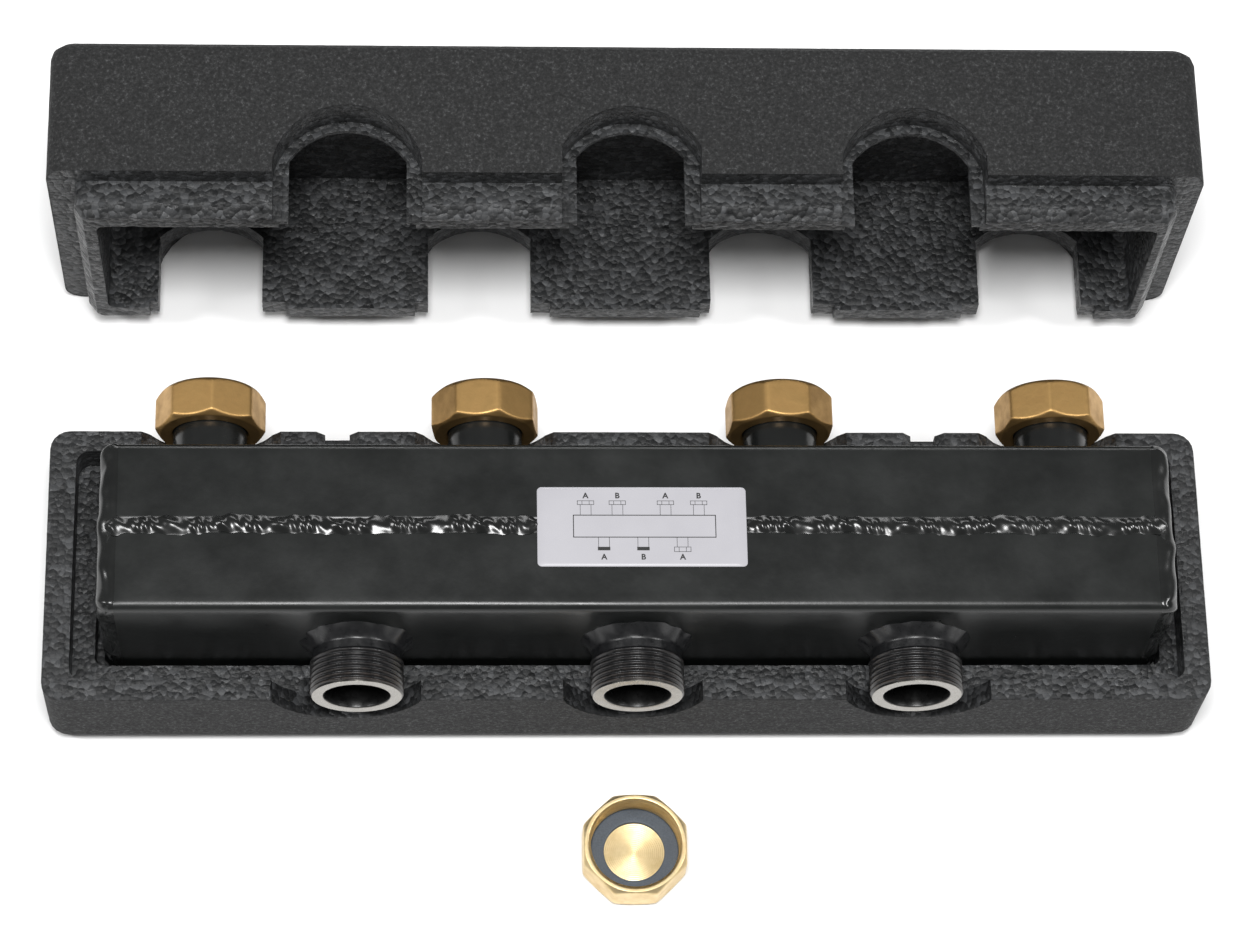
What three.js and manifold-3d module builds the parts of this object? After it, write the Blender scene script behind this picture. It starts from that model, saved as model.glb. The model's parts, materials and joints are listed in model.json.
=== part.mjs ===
// Distribution header for two heating circuits, in its two-part foam insulation.
//
// A welded steel box is split by a plate into a flow and a return chamber. Four ports with
// loose union nuts point up the wall (+Y) to the pump groups, three threaded nipples point
// down (-Y) to the boiler. The box lies in the rear insulation shell, whose back face is the
// plane Z = 0. The front shell stands behind it on its long side, open towards the header,
// and a brass blanking cap for an unused nipple lies in front.
// Millimetres, +Z out of the wall the header hangs on, X along the header.

import * as THREE from 'three';
import { mergeVertices } from 'three/addons/utils/BufferGeometryUtils.js';
import Module from 'manifold-3d';

const wasm = await Module();
wasm.setup();

// ---- driving dimensions ---------------------------------------------------------------

const GAP = 0.3;                 // clearance between pieces that touch or are welded
const ROUND = 28;                // sides of a full circle
const ARC_SEGMENTS = ROUND / 4;  // steps of an arc in an extruded outline
const FOLD_SEGMENTS = 2;         // the same for the folded edges of the box

const PORT_PITCH = 125;          // flow to return of one pump group
const GROUP_PITCH = 260;         // middle of one pump group to the middle of the other
const UPPER_PORTS = [-1, 1].flatMap((group) =>
  [-1, 1].map((side) => (group * GROUP_PITCH + side * PORT_PITCH) / 2));
const LOWER_PORTS = [-PORT_PITCH, 0, PORT_PITCH];
const RETURN_PORTS = [1, 3];     // upper ports that pass through to the lower chamber
const FLOW_NIPPLES = [0, 2];     // lower nipples that pass through to the upper chamber

const BOX_LENGTH = 478;
const BOX_SIDE = 80;
const BOX_WALL = 3;
const BOX_EDGE = 4;              // outside radius of the folded edges
const BOX_BACK = 20;             // thickness of the insulation behind the box
const END_PLATE = 4;
const PORT_HEIGHT = BOX_BACK + BOX_SIDE / 2;
const BOX_FRONT = BOX_BACK + BOX_SIDE;

const PIPE_OUTER = 33.7 / 2;     // 1 inch pipe
const PIPE_BORE = 28.5 / 2;
const COLLAR_RADIUS = 38.5 / 2;
const COLLAR_FROM = 66;
const UPPER_PORT_END = 70;

const THREAD_RADIUS = 41.91 / 2; // G 1 1/4
const NECK_RADIUS = 20;
const NIPPLE_BORE = 29.6 / 2;
const NIPPLE_END = 66;
const THREAD_LENGTH = 15.5;
const WELD_RADIUS = 25;
const WELD_LENGTH = 5;

const NUT_CORNER = 50.7 / 2;     // octagon, centre to corner
const NUT_FROM = 60.5;
const NUT_LENGTH = 19;
const NUT_LIP = 4;
const NUT_LIP_BORE = 17.4;
const NUT_BORE = 20.4;
const NUT_FACE = 22.35;          // radius of its end faces inside the chamfer
const NUT_CHAMFER = 2.6;         // height of the chamfer
const NUT_TURNS = [4, 14, -17, -7];    // degrees each loose nut has turned

const GASKET_THICKNESS = 2;

const SHELL_LEFT = -265.5;
const SHELL_RIGHT = 260;
const SHELL_LOWER = -65;
const SHELL_UPPER = 66;
const SHELL_FRONT = 120;         // closed insulation, wall to front face
const PARTING = 52;              // height of the joint between the two shells
const STEP_DEPTH = 17;           // how far the front shell's tongue reaches into the rear
const RIM = { left: 12, right: 11.5, lower: 10, upper: 10 };
const WALL = { left: 22, right: 19.5, lower: 23, upper: 23 };
const GROOVE = { left: 24, right: 21.5, lower: 59, upper: 60 };
const PLAN_CORNER = 9;
const SHELL_EDGE = 8;
const CAVITY_TOP = 104;
const TONGUE_CHAMFER = { along: 5.4, across: 4.1 };
const CAVITY_CORNER = 4;
const STEP_CORNER = 6;
// Openings for the nipples: half widths of the mouth in the wall, the thin lip behind it and
// the relief behind the lip, which clears the weld.
const LOWER_OPENINGS = [
  { x: -130, mouth: 33.8, lip: 26.7, relief: 31 },
  { x: -1.5, mouth: 31.6, lip: 24.6, relief: 28 },
  { x: 127, mouth: 33, lip: 26.7, relief: 31 },
];
const LIP = { front: -48, back: -45.6 };
const MOUTH_ARC = { radius: 34.5, centre: 51.8 };   // top of the mouth in the front shell
const LIP_ARC = { radius: 31, centre: 50.8 };
const RELIEF_ARC = { radius: 31, centre: 56 };
const MOUTH_DEPTH = 23.4;        // depth of the mouth below the rim of the rear shell
const REAR_LIP_RADIUS = 27;
// Openings for the upper ports: round in the wall, narrower and flatter through the tongue.
const UPPER_OPENING = { outer: 30.3, half: 24.4 };
const UPPER_OPENINGS = [-196, -69, 65, 193];
const UPPER_ARC = { radius: 34, centre: 48.5 };
const RIM_FLARE = 4;             // slope at the top of the rear shell's upper notches
const STRAP_NOTCH = { x: 135, halfWidth: 5.6, depth: 10 };
const TONGUE_STEP = { halfWidth: 32, depth: 3.3 };   // beside an upper opening
const FRONT_SHELL_Y = 159;       // rim of the front shell while it stands open

const LABEL = { width: 93, height: 38, thickness: 0.3, x: 1.2, y: -1, corner: 2 };
const BEAD = { width: 8, height: 1.8, groove: 3.2 };

const CAP = { y: -121, height: 18, floor: 4, bore: 20.6, face: 22.75, chamfer: 2.2 };
const CAP_GASKET = { outer: 20.4, inner: 13.75 };

// ---- materials ------------------------------------------------------------------------

const material = (color, roughness, metalness) =>
  new THREE.MeshStandardMaterial({ color, roughness, metalness });

const foam = () => material(0x2b2d2e, 0.9, 0);
const paintedSteel = () => material(0x1b1d1e, 0.35, 0.2);
const brass = () => material(0xb08d4e, 0.4, 0.9);
const sealing = () => material(0x3c4654, 0.7, 0);
const paper = () => material(0xdedfe6, 0.6, 0);

const radians = THREE.MathUtils.degToRad;

// ---- shape helpers --------------------------------------------------------------------

const model = new THREE.Group();

function add(name, geometry, finish, parent = model) {
  const mesh = new THREE.Mesh(geometry, finish());
  mesh.name = name;
  parent.add(mesh);
  return mesh;
}

// A closed three.js geometry as a solid that can be joined and cut.
function solidOf(geometry) {
  const bare = geometry.clone();
  bare.deleteAttribute('normal');
  bare.deleteAttribute('uv');
  const merged = mergeVertices(bare, 1e-4);
  return new wasm.Manifold(new wasm.Mesh({
    numProp: 3,
    vertProperties: merged.attributes.position.array,
    triVerts: new Uint32Array(merged.index.array),
  }));
}

function geometryOf(solid) {
  const mesh = solid.getMesh();
  const geometry = new THREE.BufferGeometry();
  geometry.setAttribute('position', new THREE.BufferAttribute(mesh.vertProperties, 3));
  geometry.setIndex(new THREE.BufferAttribute(mesh.triVerts, 1));
  geometry.computeVertexNormals();
  return geometry;
}

const cutAll = (solid, tools) => tools.reduce((left, tool) => left.subtract(tool), solid);

// A profile of [radius, y] points turned about the Y axis: up the outside, down the inside.
function turned(profile, x = 0, z = 0) {
  const points = [...profile, profile[0]].map(([radius, y]) => new THREE.Vector2(radius, y));
  return new THREE.LatheGeometry(points, ROUND).translate(x, 0, z);
}

const ring = (outer, inner, from, to, x, z) =>
  turned([[outer, from], [outer, to], [inner, to], [inner, from]], x, z);

// A plain round rod along Y, used as a drill.
function drill(radius, x, z, from, to) {
  const rod = new THREE.CylinderGeometry(radius, radius, to - from, ROUND);
  return solidOf(rod.translate(x, (from + to) / 2, z));
}

// An outline of [y, z] points carried along X.
function alongX(shape, from, to) {
  const geometry = new THREE.ExtrudeGeometry(shape,
    { depth: to - from, bevelEnabled: false, curveSegments: FOLD_SEGMENTS });
  geometry.translate(0, 0, from);
  const turn = new THREE.Matrix4().makeBasis(
    new THREE.Vector3(0, 1, 0), new THREE.Vector3(0, 0, 1), new THREE.Vector3(1, 0, 0));
  return geometry.applyMatrix4(turn);
}

function roundedRectangle(x0, x1, y0, y1, radius) {
  const shape = new THREE.Shape();
  shape.moveTo(x0 + radius, y0);
  shape.lineTo(x1 - radius, y0).absarc(x1 - radius, y0 + radius, radius, -Math.PI / 2, 0);
  shape.lineTo(x1, y1 - radius).absarc(x1 - radius, y1 - radius, radius, 0, Math.PI / 2);
  shape.lineTo(x0 + radius, y1).absarc(x0 + radius, y1 - radius, radius, Math.PI / 2, Math.PI);
  shape.lineTo(x0, y0 + radius).absarc(x0 + radius, y0 + radius, radius, Math.PI, Math.PI * 1.5);
  shape.closePath();
  return shape;
}

// ---- insulation shells ----------------------------------------------------------------

const BEYOND = 5;                // how far a cutting tool runs past the piece

// The plan outline of the shells, moved inwards by an amount per side.
function planRing(inset, corner, segments = 5) {
  const x0 = SHELL_LEFT + inset.left;
  const x1 = SHELL_RIGHT - inset.right;
  const y0 = SHELL_LOWER + inset.lower;
  const y1 = SHELL_UPPER - inset.upper;
  const centres = [[x1 - corner, y0 + corner, -90], [x1 - corner, y1 - corner, 0],
    [x0 + corner, y1 - corner, 90], [x0 + corner, y0 + corner, 180]];
  const outline = [];
  for (const [cx, cy, start] of centres) {
    for (let step = 0; step <= segments; step += 1) {
      const angle = radians(start + (90 * step) / segments);
      outline.push([cx + corner * Math.cos(angle), cy + corner * Math.sin(angle)]);
    }
  }
  return outline;
}

const evenly = (amount) => ({ left: amount, right: amount, lower: amount, upper: amount });
const more = (inset, amount) => ({
  left: inset.left + amount, right: inset.right + amount,
  lower: inset.lower + amount, upper: inset.upper + amount,
});

// A block whose plan outline changes from level to level: levels are [z, inset, corner].
function block(levels) {
  const rings = levels.map(([z, inset, corner]) => planRing(inset, corner)
    .map(([x, y]) => new THREE.Vector3(x, y, z)));
  const count = rings[0].length;
  const positions = rings.flat().flatMap((point) => point.toArray());
  const index = [];
  for (let level = 0; level + 1 < rings.length; level += 1) {
    for (let side = 0; side < count; side += 1) {
      const a = level * count + side;
      const b = level * count + ((side + 1) % count);
      index.push(a, b, b + count, a, b + count, a + count);
    }
  }
  const last = (rings.length - 1) * count;
  for (let side = 1; side + 1 < count; side += 1) {
    index.push(0, side + 1, side);
    index.push(last, last + side, last + side + 1);
  }
  const geometry = new THREE.BufferGeometry();
  geometry.setAttribute('position', new THREE.Float32BufferAttribute(positions, 3));
  geometry.setIndex(index);
  return solidOf(geometry);
}

// Levels of a rounded outer edge, from the flat face to the side wall.
function edgeLevels(faceZ, wallZ, steps = 3) {
  const levels = [];
  for (let step = 0; step <= steps; step += 1) {
    const angle = (Math.PI / 2) * (step / steps);
    const inset = SHELL_EDGE * (1 - Math.sin(angle));
    const z = faceZ + (wallZ - faceZ) * (1 - Math.cos(angle));
    levels.push([z, evenly(inset), Math.max(PLAN_CORNER - inset / 2, 2)]);
  }
  return levels;
}

// A doorway through a long wall: straight sides, then an arc of its own radius and centre.
function archway(x, half, arc, from, to) {
  const start = Math.acos(half / arc.radius);
  const shape = new THREE.Shape();
  shape.moveTo(-half, 0).lineTo(half, 0);
  shape.lineTo(half, arc.centre + arc.radius * Math.sin(start));
  shape.absarc(0, arc.centre, arc.radius, start, Math.PI - start);
  shape.closePath();
  const geometry = new THREE.ExtrudeGeometry(shape,
    { depth: to - from, bevelEnabled: false, curveSegments: ARC_SEGMENTS });
  geometry.rotateX(Math.PI / 2);
  return solidOf(geometry.translate(x, to, 0));
}

// A straight-sided notch in the rear shell's upper rim that widens over its last millimetres.
function flaredNotch(x, halfWidth, floor) {
  const shape = new THREE.Shape();
  const flareFoot = PARTING - RIM_FLARE;
  shape.moveTo(-halfWidth, floor).lineTo(halfWidth, floor);
  shape.lineTo(halfWidth, flareFoot).lineTo(halfWidth + RIM_FLARE + BEYOND, PARTING + BEYOND);
  shape.lineTo(-halfWidth - RIM_FLARE - BEYOND, PARTING + BEYOND).lineTo(-halfWidth, flareFoot);
  shape.closePath();
  const geometry = new THREE.ExtrudeGeometry(shape,
    { depth: RIM.upper + BEYOND, bevelEnabled: false });
  geometry.rotateX(Math.PI / 2);
  return solidOf(geometry.translate(x, SHELL_UPPER + BEYOND, 0));
}

function brick(x0, x1, y0, y1, z0, z1) {
  const geometry = new THREE.BoxGeometry(x1 - x0, y1 - y0, z1 - z0);
  return solidOf(geometry.translate((x0 + x1) / 2, (y0 + y1) / 2, (z0 + z1) / 2));
}

const upperStep = SHELL_UPPER - RIM.upper;
const lowerInner = SHELL_LOWER + WALL.lower;
const upperInner = SHELL_UPPER - WALL.upper;

const upperMouths = () => UPPER_PORTS.map((x) =>
  drill(UPPER_OPENING.outer, x, PORT_HEIGHT, upperStep, SHELL_UPPER + BEYOND));

// The part of a nipple's opening that lies in the rear shell: a shallow arc and the lip.
function rearMouth({ x, mouth }) {
  const radius = (mouth ** 2 + MOUTH_DEPTH ** 2) / (2 * MOUTH_DEPTH);
  const centre = PARTING - MOUTH_DEPTH + radius;
  return [drill(radius, x, centre, SHELL_LOWER - BEYOND, LIP.front),
    drill(REAR_LIP_RADIUS, x, PORT_HEIGHT, LIP.front - 1, lowerInner + 1)];
}

function rearShell() {
  const body = block([...edgeLevels(0, SHELL_EDGE), [PARTING, evenly(0), PLAN_CORNER]]);
  const cavity = block([[BOX_BACK - GAP, WALL, CAVITY_CORNER],
    [PARTING + BEYOND, WALL, CAVITY_CORNER]]);
  const step = block([[PARTING - STEP_DEPTH, RIM, STEP_CORNER],
    [PARTING + BEYOND, RIM, STEP_CORNER]]);
  const weldGroove = block([[BOX_BACK - BEAD.groove, GROOVE, 1], [BOX_BACK, GROOVE, 1]]);
  const flareFoot = PARTING - RIM_FLARE;
  const notchHalf = Math.sqrt(UPPER_OPENING.outer ** 2 - (PORT_HEIGHT - flareFoot) ** 2);
  const notches = [
    ...UPPER_PORTS.map((x) => flaredNotch(x, notchHalf, flareFoot - GAP)),
    ...[-1, 1].map((side) => flaredNotch(side * STRAP_NOTCH.x, STRAP_NOTCH.halfWidth,
      PARTING - STRAP_NOTCH.depth)),
  ];
  const mouths = [...LOWER_OPENINGS.flatMap(rearMouth), ...upperMouths()];
  return geometryOf(cutAll(body, [cavity, step, weldGroove, ...notches, ...mouths]));
}

function frontShell() {
  const top = edgeLevels(SHELL_FRONT, SHELL_FRONT - SHELL_EDGE).reverse();
  const cover = block([[PARTING, evenly(0), PLAN_CORNER], ...top]);
  const tongueEnd = PARTING - STEP_DEPTH + GAP;
  const tongueSide = more(RIM, GAP);
  const tongue = block([
    [tongueEnd, more(tongueSide, TONGUE_CHAMFER.across), STEP_CORNER / 2],
    [tongueEnd + TONGUE_CHAMFER.along, tongueSide, STEP_CORNER],
    [PARTING + BEYOND, tongueSide, STEP_CORNER],
  ]);
  const ends = UPPER_PORTS.map((x) => brick(x - TONGUE_STEP.halfWidth, x + TONGUE_STEP.halfWidth,
    upperInner - 1, SHELL_UPPER, tongueEnd - BEYOND, tongueEnd + TONGUE_STEP.depth));
  const cavity = block([[0, WALL, CAVITY_CORNER], [CAVITY_TOP, WALL, CAVITY_CORNER]]);
  const lowerMouths = LOWER_OPENINGS.flatMap(({ x, mouth, lip, relief }) => [
    archway(x, mouth, MOUTH_ARC, SHELL_LOWER - BEYOND, LIP.front),
    archway(x, lip, LIP_ARC, LIP.front - 1, LIP.back + 1),
    archway(x, relief, RELIEF_ARC, LIP.back, lowerInner + BEYOND),
  ]);
  const upperArches = UPPER_OPENINGS.map((x) =>
    archway(x, UPPER_OPENING.half, UPPER_ARC, upperInner - BEYOND, SHELL_UPPER + BEYOND));
  return geometryOf(cutAll(cover.add(tongue),
    [cavity, ...ends, ...lowerMouths, ...upperMouths(), ...upperArches]));
}

add('rear_shell', rearShell(), foam);

const openShell = new THREE.Group();
openShell.position.set(0, FRONT_SHELL_Y - PARTING, SHELL_UPPER);
openShell.rotation.x = -Math.PI / 2;
model.add(openShell);
add('front_shell', frontShell(), foam, openShell);

// ---- steel box ------------------------------------------------------------------------

const channelEnd = BOX_LENGTH / 2 - END_PLATE - GAP;
const half = BOX_SIDE / 2;
const channelEdge = BOX_WALL / 2 + GAP;   // where each channel stops beside the middle plate

// One folded half of the box: side is +1 for the upper channel and -1 for the lower one.
function channel(side, holes) {
  const innerEdge = BOX_EDGE - BOX_WALL;
  const quarter = Math.PI / 2;
  const shape = new THREE.Shape();
  shape.moveTo(channelEdge, BOX_BACK);
  shape.lineTo(half - BOX_EDGE, BOX_BACK);
  shape.absarc(half - BOX_EDGE, BOX_BACK + BOX_EDGE, BOX_EDGE, -quarter, 0);
  shape.lineTo(half, BOX_FRONT - BOX_EDGE);
  shape.absarc(half - BOX_EDGE, BOX_FRONT - BOX_EDGE, BOX_EDGE, 0, quarter);
  shape.lineTo(channelEdge, BOX_FRONT);
  shape.lineTo(channelEdge, BOX_FRONT - BOX_WALL);
  shape.lineTo(half - BOX_EDGE, BOX_FRONT - BOX_WALL);
  shape.absarc(half - BOX_EDGE, BOX_FRONT - BOX_EDGE, innerEdge, quarter, 0, true);
  shape.lineTo(half - BOX_WALL, BOX_BACK + BOX_EDGE);
  shape.absarc(half - BOX_EDGE, BOX_BACK + BOX_EDGE, innerEdge, 0, -quarter, true);
  shape.lineTo(channelEdge, BOX_BACK + BOX_WALL);
  shape.closePath();
  let geometry = alongX(shape, -channelEnd, channelEnd);
  if (side < 0) {
    geometry = geometry.rotateZ(Math.PI);
  }
  const wall = [half - BOX_WALL - 1, half + 1].map((y) => y * side).sort((a, b) => a - b);
  const tools = holes.map(({ x, radius }) => drill(radius, x, PORT_HEIGHT, wall[0], wall[1]));
  return geometryOf(cutAll(solidOf(geometry), tools));
}

const passThroughs = [
  ...RETURN_PORTS.map((port) => ({ x: UPPER_PORTS[port], side: 1 })),
  ...FLOW_NIPPLES.map((port) => ({ x: LOWER_PORTS[port], side: -1 })),
];

add('upper_channel',
  channel(1, UPPER_PORTS.map((x) => ({ x, radius: PIPE_BORE }))), paintedSteel);
add('lower_channel',
  channel(-1, LOWER_PORTS.map((x) => ({ x, radius: NIPPLE_BORE }))), paintedSteel);

function dividerPlate() {
  const low = BOX_BACK + GAP;
  const high = BOX_FRONT - GAP;
  const shape = new THREE.Shape();
  shape.moveTo(-channelEnd, low).lineTo(channelEnd, low);
  shape.lineTo(channelEnd, high).lineTo(-channelEnd, high).closePath();
  for (const { x } of passThroughs) {
    const hole = new THREE.Path();
    hole.absarc(x, PORT_HEIGHT, PIPE_BORE, 0, Math.PI * 2);
    shape.holes.push(hole);
  }
  const plate = new THREE.ExtrudeGeometry(shape,
    { depth: BOX_WALL, bevelEnabled: false, curveSegments: ROUND / 2 });
  return plate.rotateX(Math.PI / 2).translate(0, BOX_WALL / 2, 0);
}

add('divider_plate', dividerPlate(), paintedSteel);

const endShape = roundedRectangle(-half, half, BOX_BACK, BOX_FRONT, BOX_EDGE);
const endInner = BOX_LENGTH / 2 - END_PLATE;
add('left_end_plate', alongX(endShape, -BOX_LENGTH / 2, -endInner), paintedSteel);
add('right_end_plate', alongX(endShape, endInner, BOX_LENGTH / 2), paintedSteel);

passThroughs.forEach(({ x, side }, number) => {
  const span = [channelEdge, half - BOX_WALL - GAP].map((y) => y * side).sort((a, b) => a - b);
  add(`pass_tube_${number + 1}`,
    ring(PIPE_OUTER, PIPE_BORE, span[0], span[1], x, PORT_HEIGHT), paintedSteel);
});

// A weld bead along X, a flat arch in section; it stands on the face at the given height.
function bead(from, to, face, outwards) {
  const shape = new THREE.Shape();
  shape.moveTo(-BEAD.width / 2, 0);
  shape.lineTo(BEAD.width / 2, 0);
  shape.quadraticCurveTo(0, 2 * BEAD.height, -BEAD.width / 2, 0);
  const geometry = alongX(shape, from, to);
  if (outwards < 0) {
    geometry.rotateX(Math.PI);
  }
  return geometry.translate(0, 0, face + GAP * outwards);
}

const labelLeft = LABEL.x - LABEL.width / 2;
const labelRight = LABEL.x + LABEL.width / 2;
add('front_weld_left', bead(-endInner, labelLeft - GAP, BOX_FRONT, 1), paintedSteel);
add('front_weld_right', bead(labelRight + GAP, endInner, BOX_FRONT, 1), paintedSteel);
add('back_weld', bead(-endInner, endInner, BOX_BACK, -1), paintedSteel);

// ---- ports ----------------------------------------------------------------------------

// The nut's octagon with both ends turned to a cone, bored for the thread and the lip.
function unionNut(turn) {
  const end = NUT_FROM + NUT_LENGTH;
  const widest = NUT_CORNER + GAP;
  const prism = new THREE.CylinderGeometry(NUT_CORNER, NUT_CORNER, NUT_LENGTH, 8, 1, false, turn);
  const envelope = turned([[NUT_FACE, NUT_FROM], [widest, NUT_FROM + NUT_CHAMFER],
    [widest, end - NUT_CHAMFER], [NUT_FACE, end],
    [NUT_BORE, end], [NUT_BORE, NUT_FROM + NUT_LIP],
    [NUT_LIP_BORE, NUT_FROM + NUT_LIP], [NUT_LIP_BORE, NUT_FROM]]);
  const solid = solidOf(prism.translate(0, (NUT_FROM + end) / 2, 0));
  return geometryOf(solid.intersect(solidOf(envelope)));
}

UPPER_PORTS.forEach((x, port) => {
  const neck = [[PIPE_OUTER, half + GAP], [PIPE_OUTER, COLLAR_FROM],
    [COLLAR_RADIUS, COLLAR_FROM + 1], [COLLAR_RADIUS, UPPER_PORT_END],
    [PIPE_BORE, UPPER_PORT_END], [PIPE_BORE, half + GAP]];
  add(`upper_nipple_${port + 1}`, turned(neck, x, PORT_HEIGHT), paintedSteel);
  const nut = unionNut(radians(NUT_TURNS[port]));
  add(`union_nut_${port + 1}`, nut, brass).position.set(x, 0, PORT_HEIGHT);
  add(`upper_gasket_${port + 1}`, ring(COLLAR_RADIUS, PIPE_BORE, UPPER_PORT_END + GAP,
    UPPER_PORT_END + GAP + GASKET_THICKNESS, x, PORT_HEIGHT), sealing);
});

LOWER_PORTS.forEach((x, port) => {
  const threadStart = -NIPPLE_END + THREAD_LENGTH;
  const root = -half - GAP;
  const nipple = [[THREAD_RADIUS - 1.2, -NIPPLE_END], [THREAD_RADIUS, -NIPPLE_END + 1.2],
    [THREAD_RADIUS, threadStart], [NECK_RADIUS, threadStart + 1],
    [NECK_RADIUS, root - WELD_LENGTH], [WELD_RADIUS - 0.6, root - 1.7], [WELD_RADIUS, root],
    [NIPPLE_BORE, root], [NIPPLE_BORE, -NIPPLE_END]];
  add(`lower_nipple_${port + 1}`, turned(nipple, x, PORT_HEIGHT), paintedSteel);
});

// ---- label and blanking cap -----------------------------------------------------------

const labelShape = roundedRectangle(labelLeft, labelRight,
  LABEL.y - LABEL.height / 2, LABEL.y + LABEL.height / 2, LABEL.corner);
const labelSheet = new THREE.ExtrudeGeometry(labelShape,
  { depth: LABEL.thickness, bevelEnabled: false, curveSegments: 5 });
add('label', labelSheet.translate(0, 0, BOX_FRONT + GAP), paper);

// The cap and its seal are drawn along Y with the open mouth at +Y, then stood upright.
const lyingCap = new THREE.Group();
lyingCap.position.set(0, CAP.y, 0);
lyingCap.rotation.x = Math.PI / 2;
model.add(lyingCap);

function blankingCap() {
  const widest = NUT_CORNER + GAP;
  const prism = new THREE.CylinderGeometry(NUT_CORNER, NUT_CORNER, CAP.height, 8, 1, false,
    Math.PI / 8);
  const envelope = turned([[0, 0], [CAP.face, 0], [widest, CAP.chamfer],
    [widest, CAP.height - CAP.chamfer], [CAP.face, CAP.height],
    [CAP.bore, CAP.height], [CAP.bore, CAP.floor], [0, CAP.floor]]);
  const solid = solidOf(prism.translate(0, CAP.height / 2, 0));
  return geometryOf(solid.intersect(solidOf(envelope)));
}

add('blanking_cap', blankingCap(), brass, lyingCap);
add('cap_gasket', ring(CAP_GASKET.outer, CAP_GASKET.inner, CAP.floor + GAP,
  CAP.floor + GAP + GASKET_THICKNESS), sealing, lyingCap);

export default model;
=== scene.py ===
# %% [markdown]
# # A heating header and its foam insulation
#
# This lesson dresses a measured model in real surfaces. The object is a distribution header: a
# welded steel box that shares a boiler's water between two heating circuits. Four ports with
# loose brass union nuts point up the wall, three threaded nipples point down, and two shells
# of black bead foam close around the box. Every piece made here takes its place from those
# nodes.

import json
import math

import bmesh
import bpy
import numpy as np
from mathutils import Matrix, Vector


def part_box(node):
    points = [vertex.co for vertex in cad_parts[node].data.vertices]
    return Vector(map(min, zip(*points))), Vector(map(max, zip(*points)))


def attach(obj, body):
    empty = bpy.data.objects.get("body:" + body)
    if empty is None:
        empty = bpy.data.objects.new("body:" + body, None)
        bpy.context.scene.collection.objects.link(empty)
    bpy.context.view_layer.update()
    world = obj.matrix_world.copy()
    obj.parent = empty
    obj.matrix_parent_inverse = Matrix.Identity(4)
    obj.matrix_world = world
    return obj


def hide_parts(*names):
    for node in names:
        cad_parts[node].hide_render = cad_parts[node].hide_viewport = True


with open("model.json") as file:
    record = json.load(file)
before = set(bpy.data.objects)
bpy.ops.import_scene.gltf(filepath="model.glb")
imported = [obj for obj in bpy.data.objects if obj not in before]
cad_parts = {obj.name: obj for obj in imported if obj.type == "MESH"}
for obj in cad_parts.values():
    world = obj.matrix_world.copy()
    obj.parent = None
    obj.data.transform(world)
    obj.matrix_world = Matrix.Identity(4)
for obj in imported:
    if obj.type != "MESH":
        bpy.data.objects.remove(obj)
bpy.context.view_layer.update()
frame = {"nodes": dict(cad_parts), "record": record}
NODES = frame["nodes"]
BODY_OF = {node: body for body, nodes in frame["record"]["behaviour"]["bodies"].items()
           for node in nodes}
MM = 0.001

# %% [markdown]
# ## Where things are
#
# We never type a place twice. The box, the port centres and the shells' rims come from the
# corners of the measured nodes, so if the model changes, the dressing follows it.

# %% Read places from the frame
def span(node):
    """Lowest and highest corner of a node, as two arrays in metres."""
    low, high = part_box(node)
    return np.array(low), np.array(high)


def port_centres(prefix, count):
    """The middle of each numbered port, seen along Y, as an array of [x, z]."""
    corners = [span(f"{prefix}_{number}") for number in range(1, count + 1)]
    return np.array([[(low[0] + high[0]) / 2, (low[2] + high[2]) / 2] for low, high in corners])


UPPER = port_centres("upper_nipple", 4)
LOWER = port_centres("lower_nipple", 3)
BOX_LEFT, BOX_RIGHT = span("left_end_plate")[0][0], span("right_end_plate")[1][0]
BOX_LOWER, BOX_UPPER = span("left_end_plate")[0][1], span("left_end_plate")[1][1]
BOX_BACK, BOX_FRONT = span("left_end_plate")[0][2], span("left_end_plate")[1][2]
print("box from", (BOX_LEFT, BOX_LOWER, BOX_BACK), "to", (BOX_RIGHT, BOX_UPPER, BOX_FRONT))

# %% [markdown]
# ## The camera
#
# A long lens from high above the front edge flattens the perspective, as in a product picture.
# The direction is built from three angles: azimuth (around Z), elevation (above the floor) and
# a small roll. Building the matrix from its three axes keeps the roll exact, which aiming with
# a Track To constraint would not.

# %% Camera
CAMERA_AIM = Vector((-0.0037, 0.0422, 0.060))
CAMERA_DISTANCE = 1.886
CAMERA_ANGLES = {"azimuth": 7.249, "elevation": 66.691, "roll": 6.755}
CAMERA_LENS = 119.12


def camera_axes(azimuth, elevation, roll):
    """Right, up and backward unit vectors: azimuth turns about Z, elevation tips the view
    down, and roll turns right and up about the line of sight."""
    az, el, turn = (math.radians(angle) for angle in (azimuth, elevation, roll))
    forward = Vector((math.sin(az) * math.cos(el), math.cos(az) * math.cos(el), -math.sin(el)))
    right = Vector((math.cos(az), -math.sin(az), 0))
    up = right.cross(forward)
    rolled_right = right * math.cos(turn) + up * math.sin(turn)
    rolled_up = up * math.cos(turn) - right * math.sin(turn)
    return rolled_right, rolled_up, -forward


def make_camera():
    """A camera on its line of sight, at a distance from the aim point."""
    right, up, back = camera_axes(**CAMERA_ANGLES)
    data = bpy.data.cameras.new("camera")
    data.lens = CAMERA_LENS
    data.sensor_width = 36
    data.clip_end = 20
    camera = bpy.data.objects.new("camera", data)
    bpy.context.scene.collection.objects.link(camera)
    turn = Matrix((right, up, back)).transposed().to_4x4()
    camera.matrix_world = Matrix.Translation(CAMERA_AIM + back * CAMERA_DISTANCE) @ turn
    bpy.context.scene.camera = camera
    return camera


camera = make_camera()
print("camera at", tuple(round(value, 3) for value in camera.matrix_world.translation))

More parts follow.
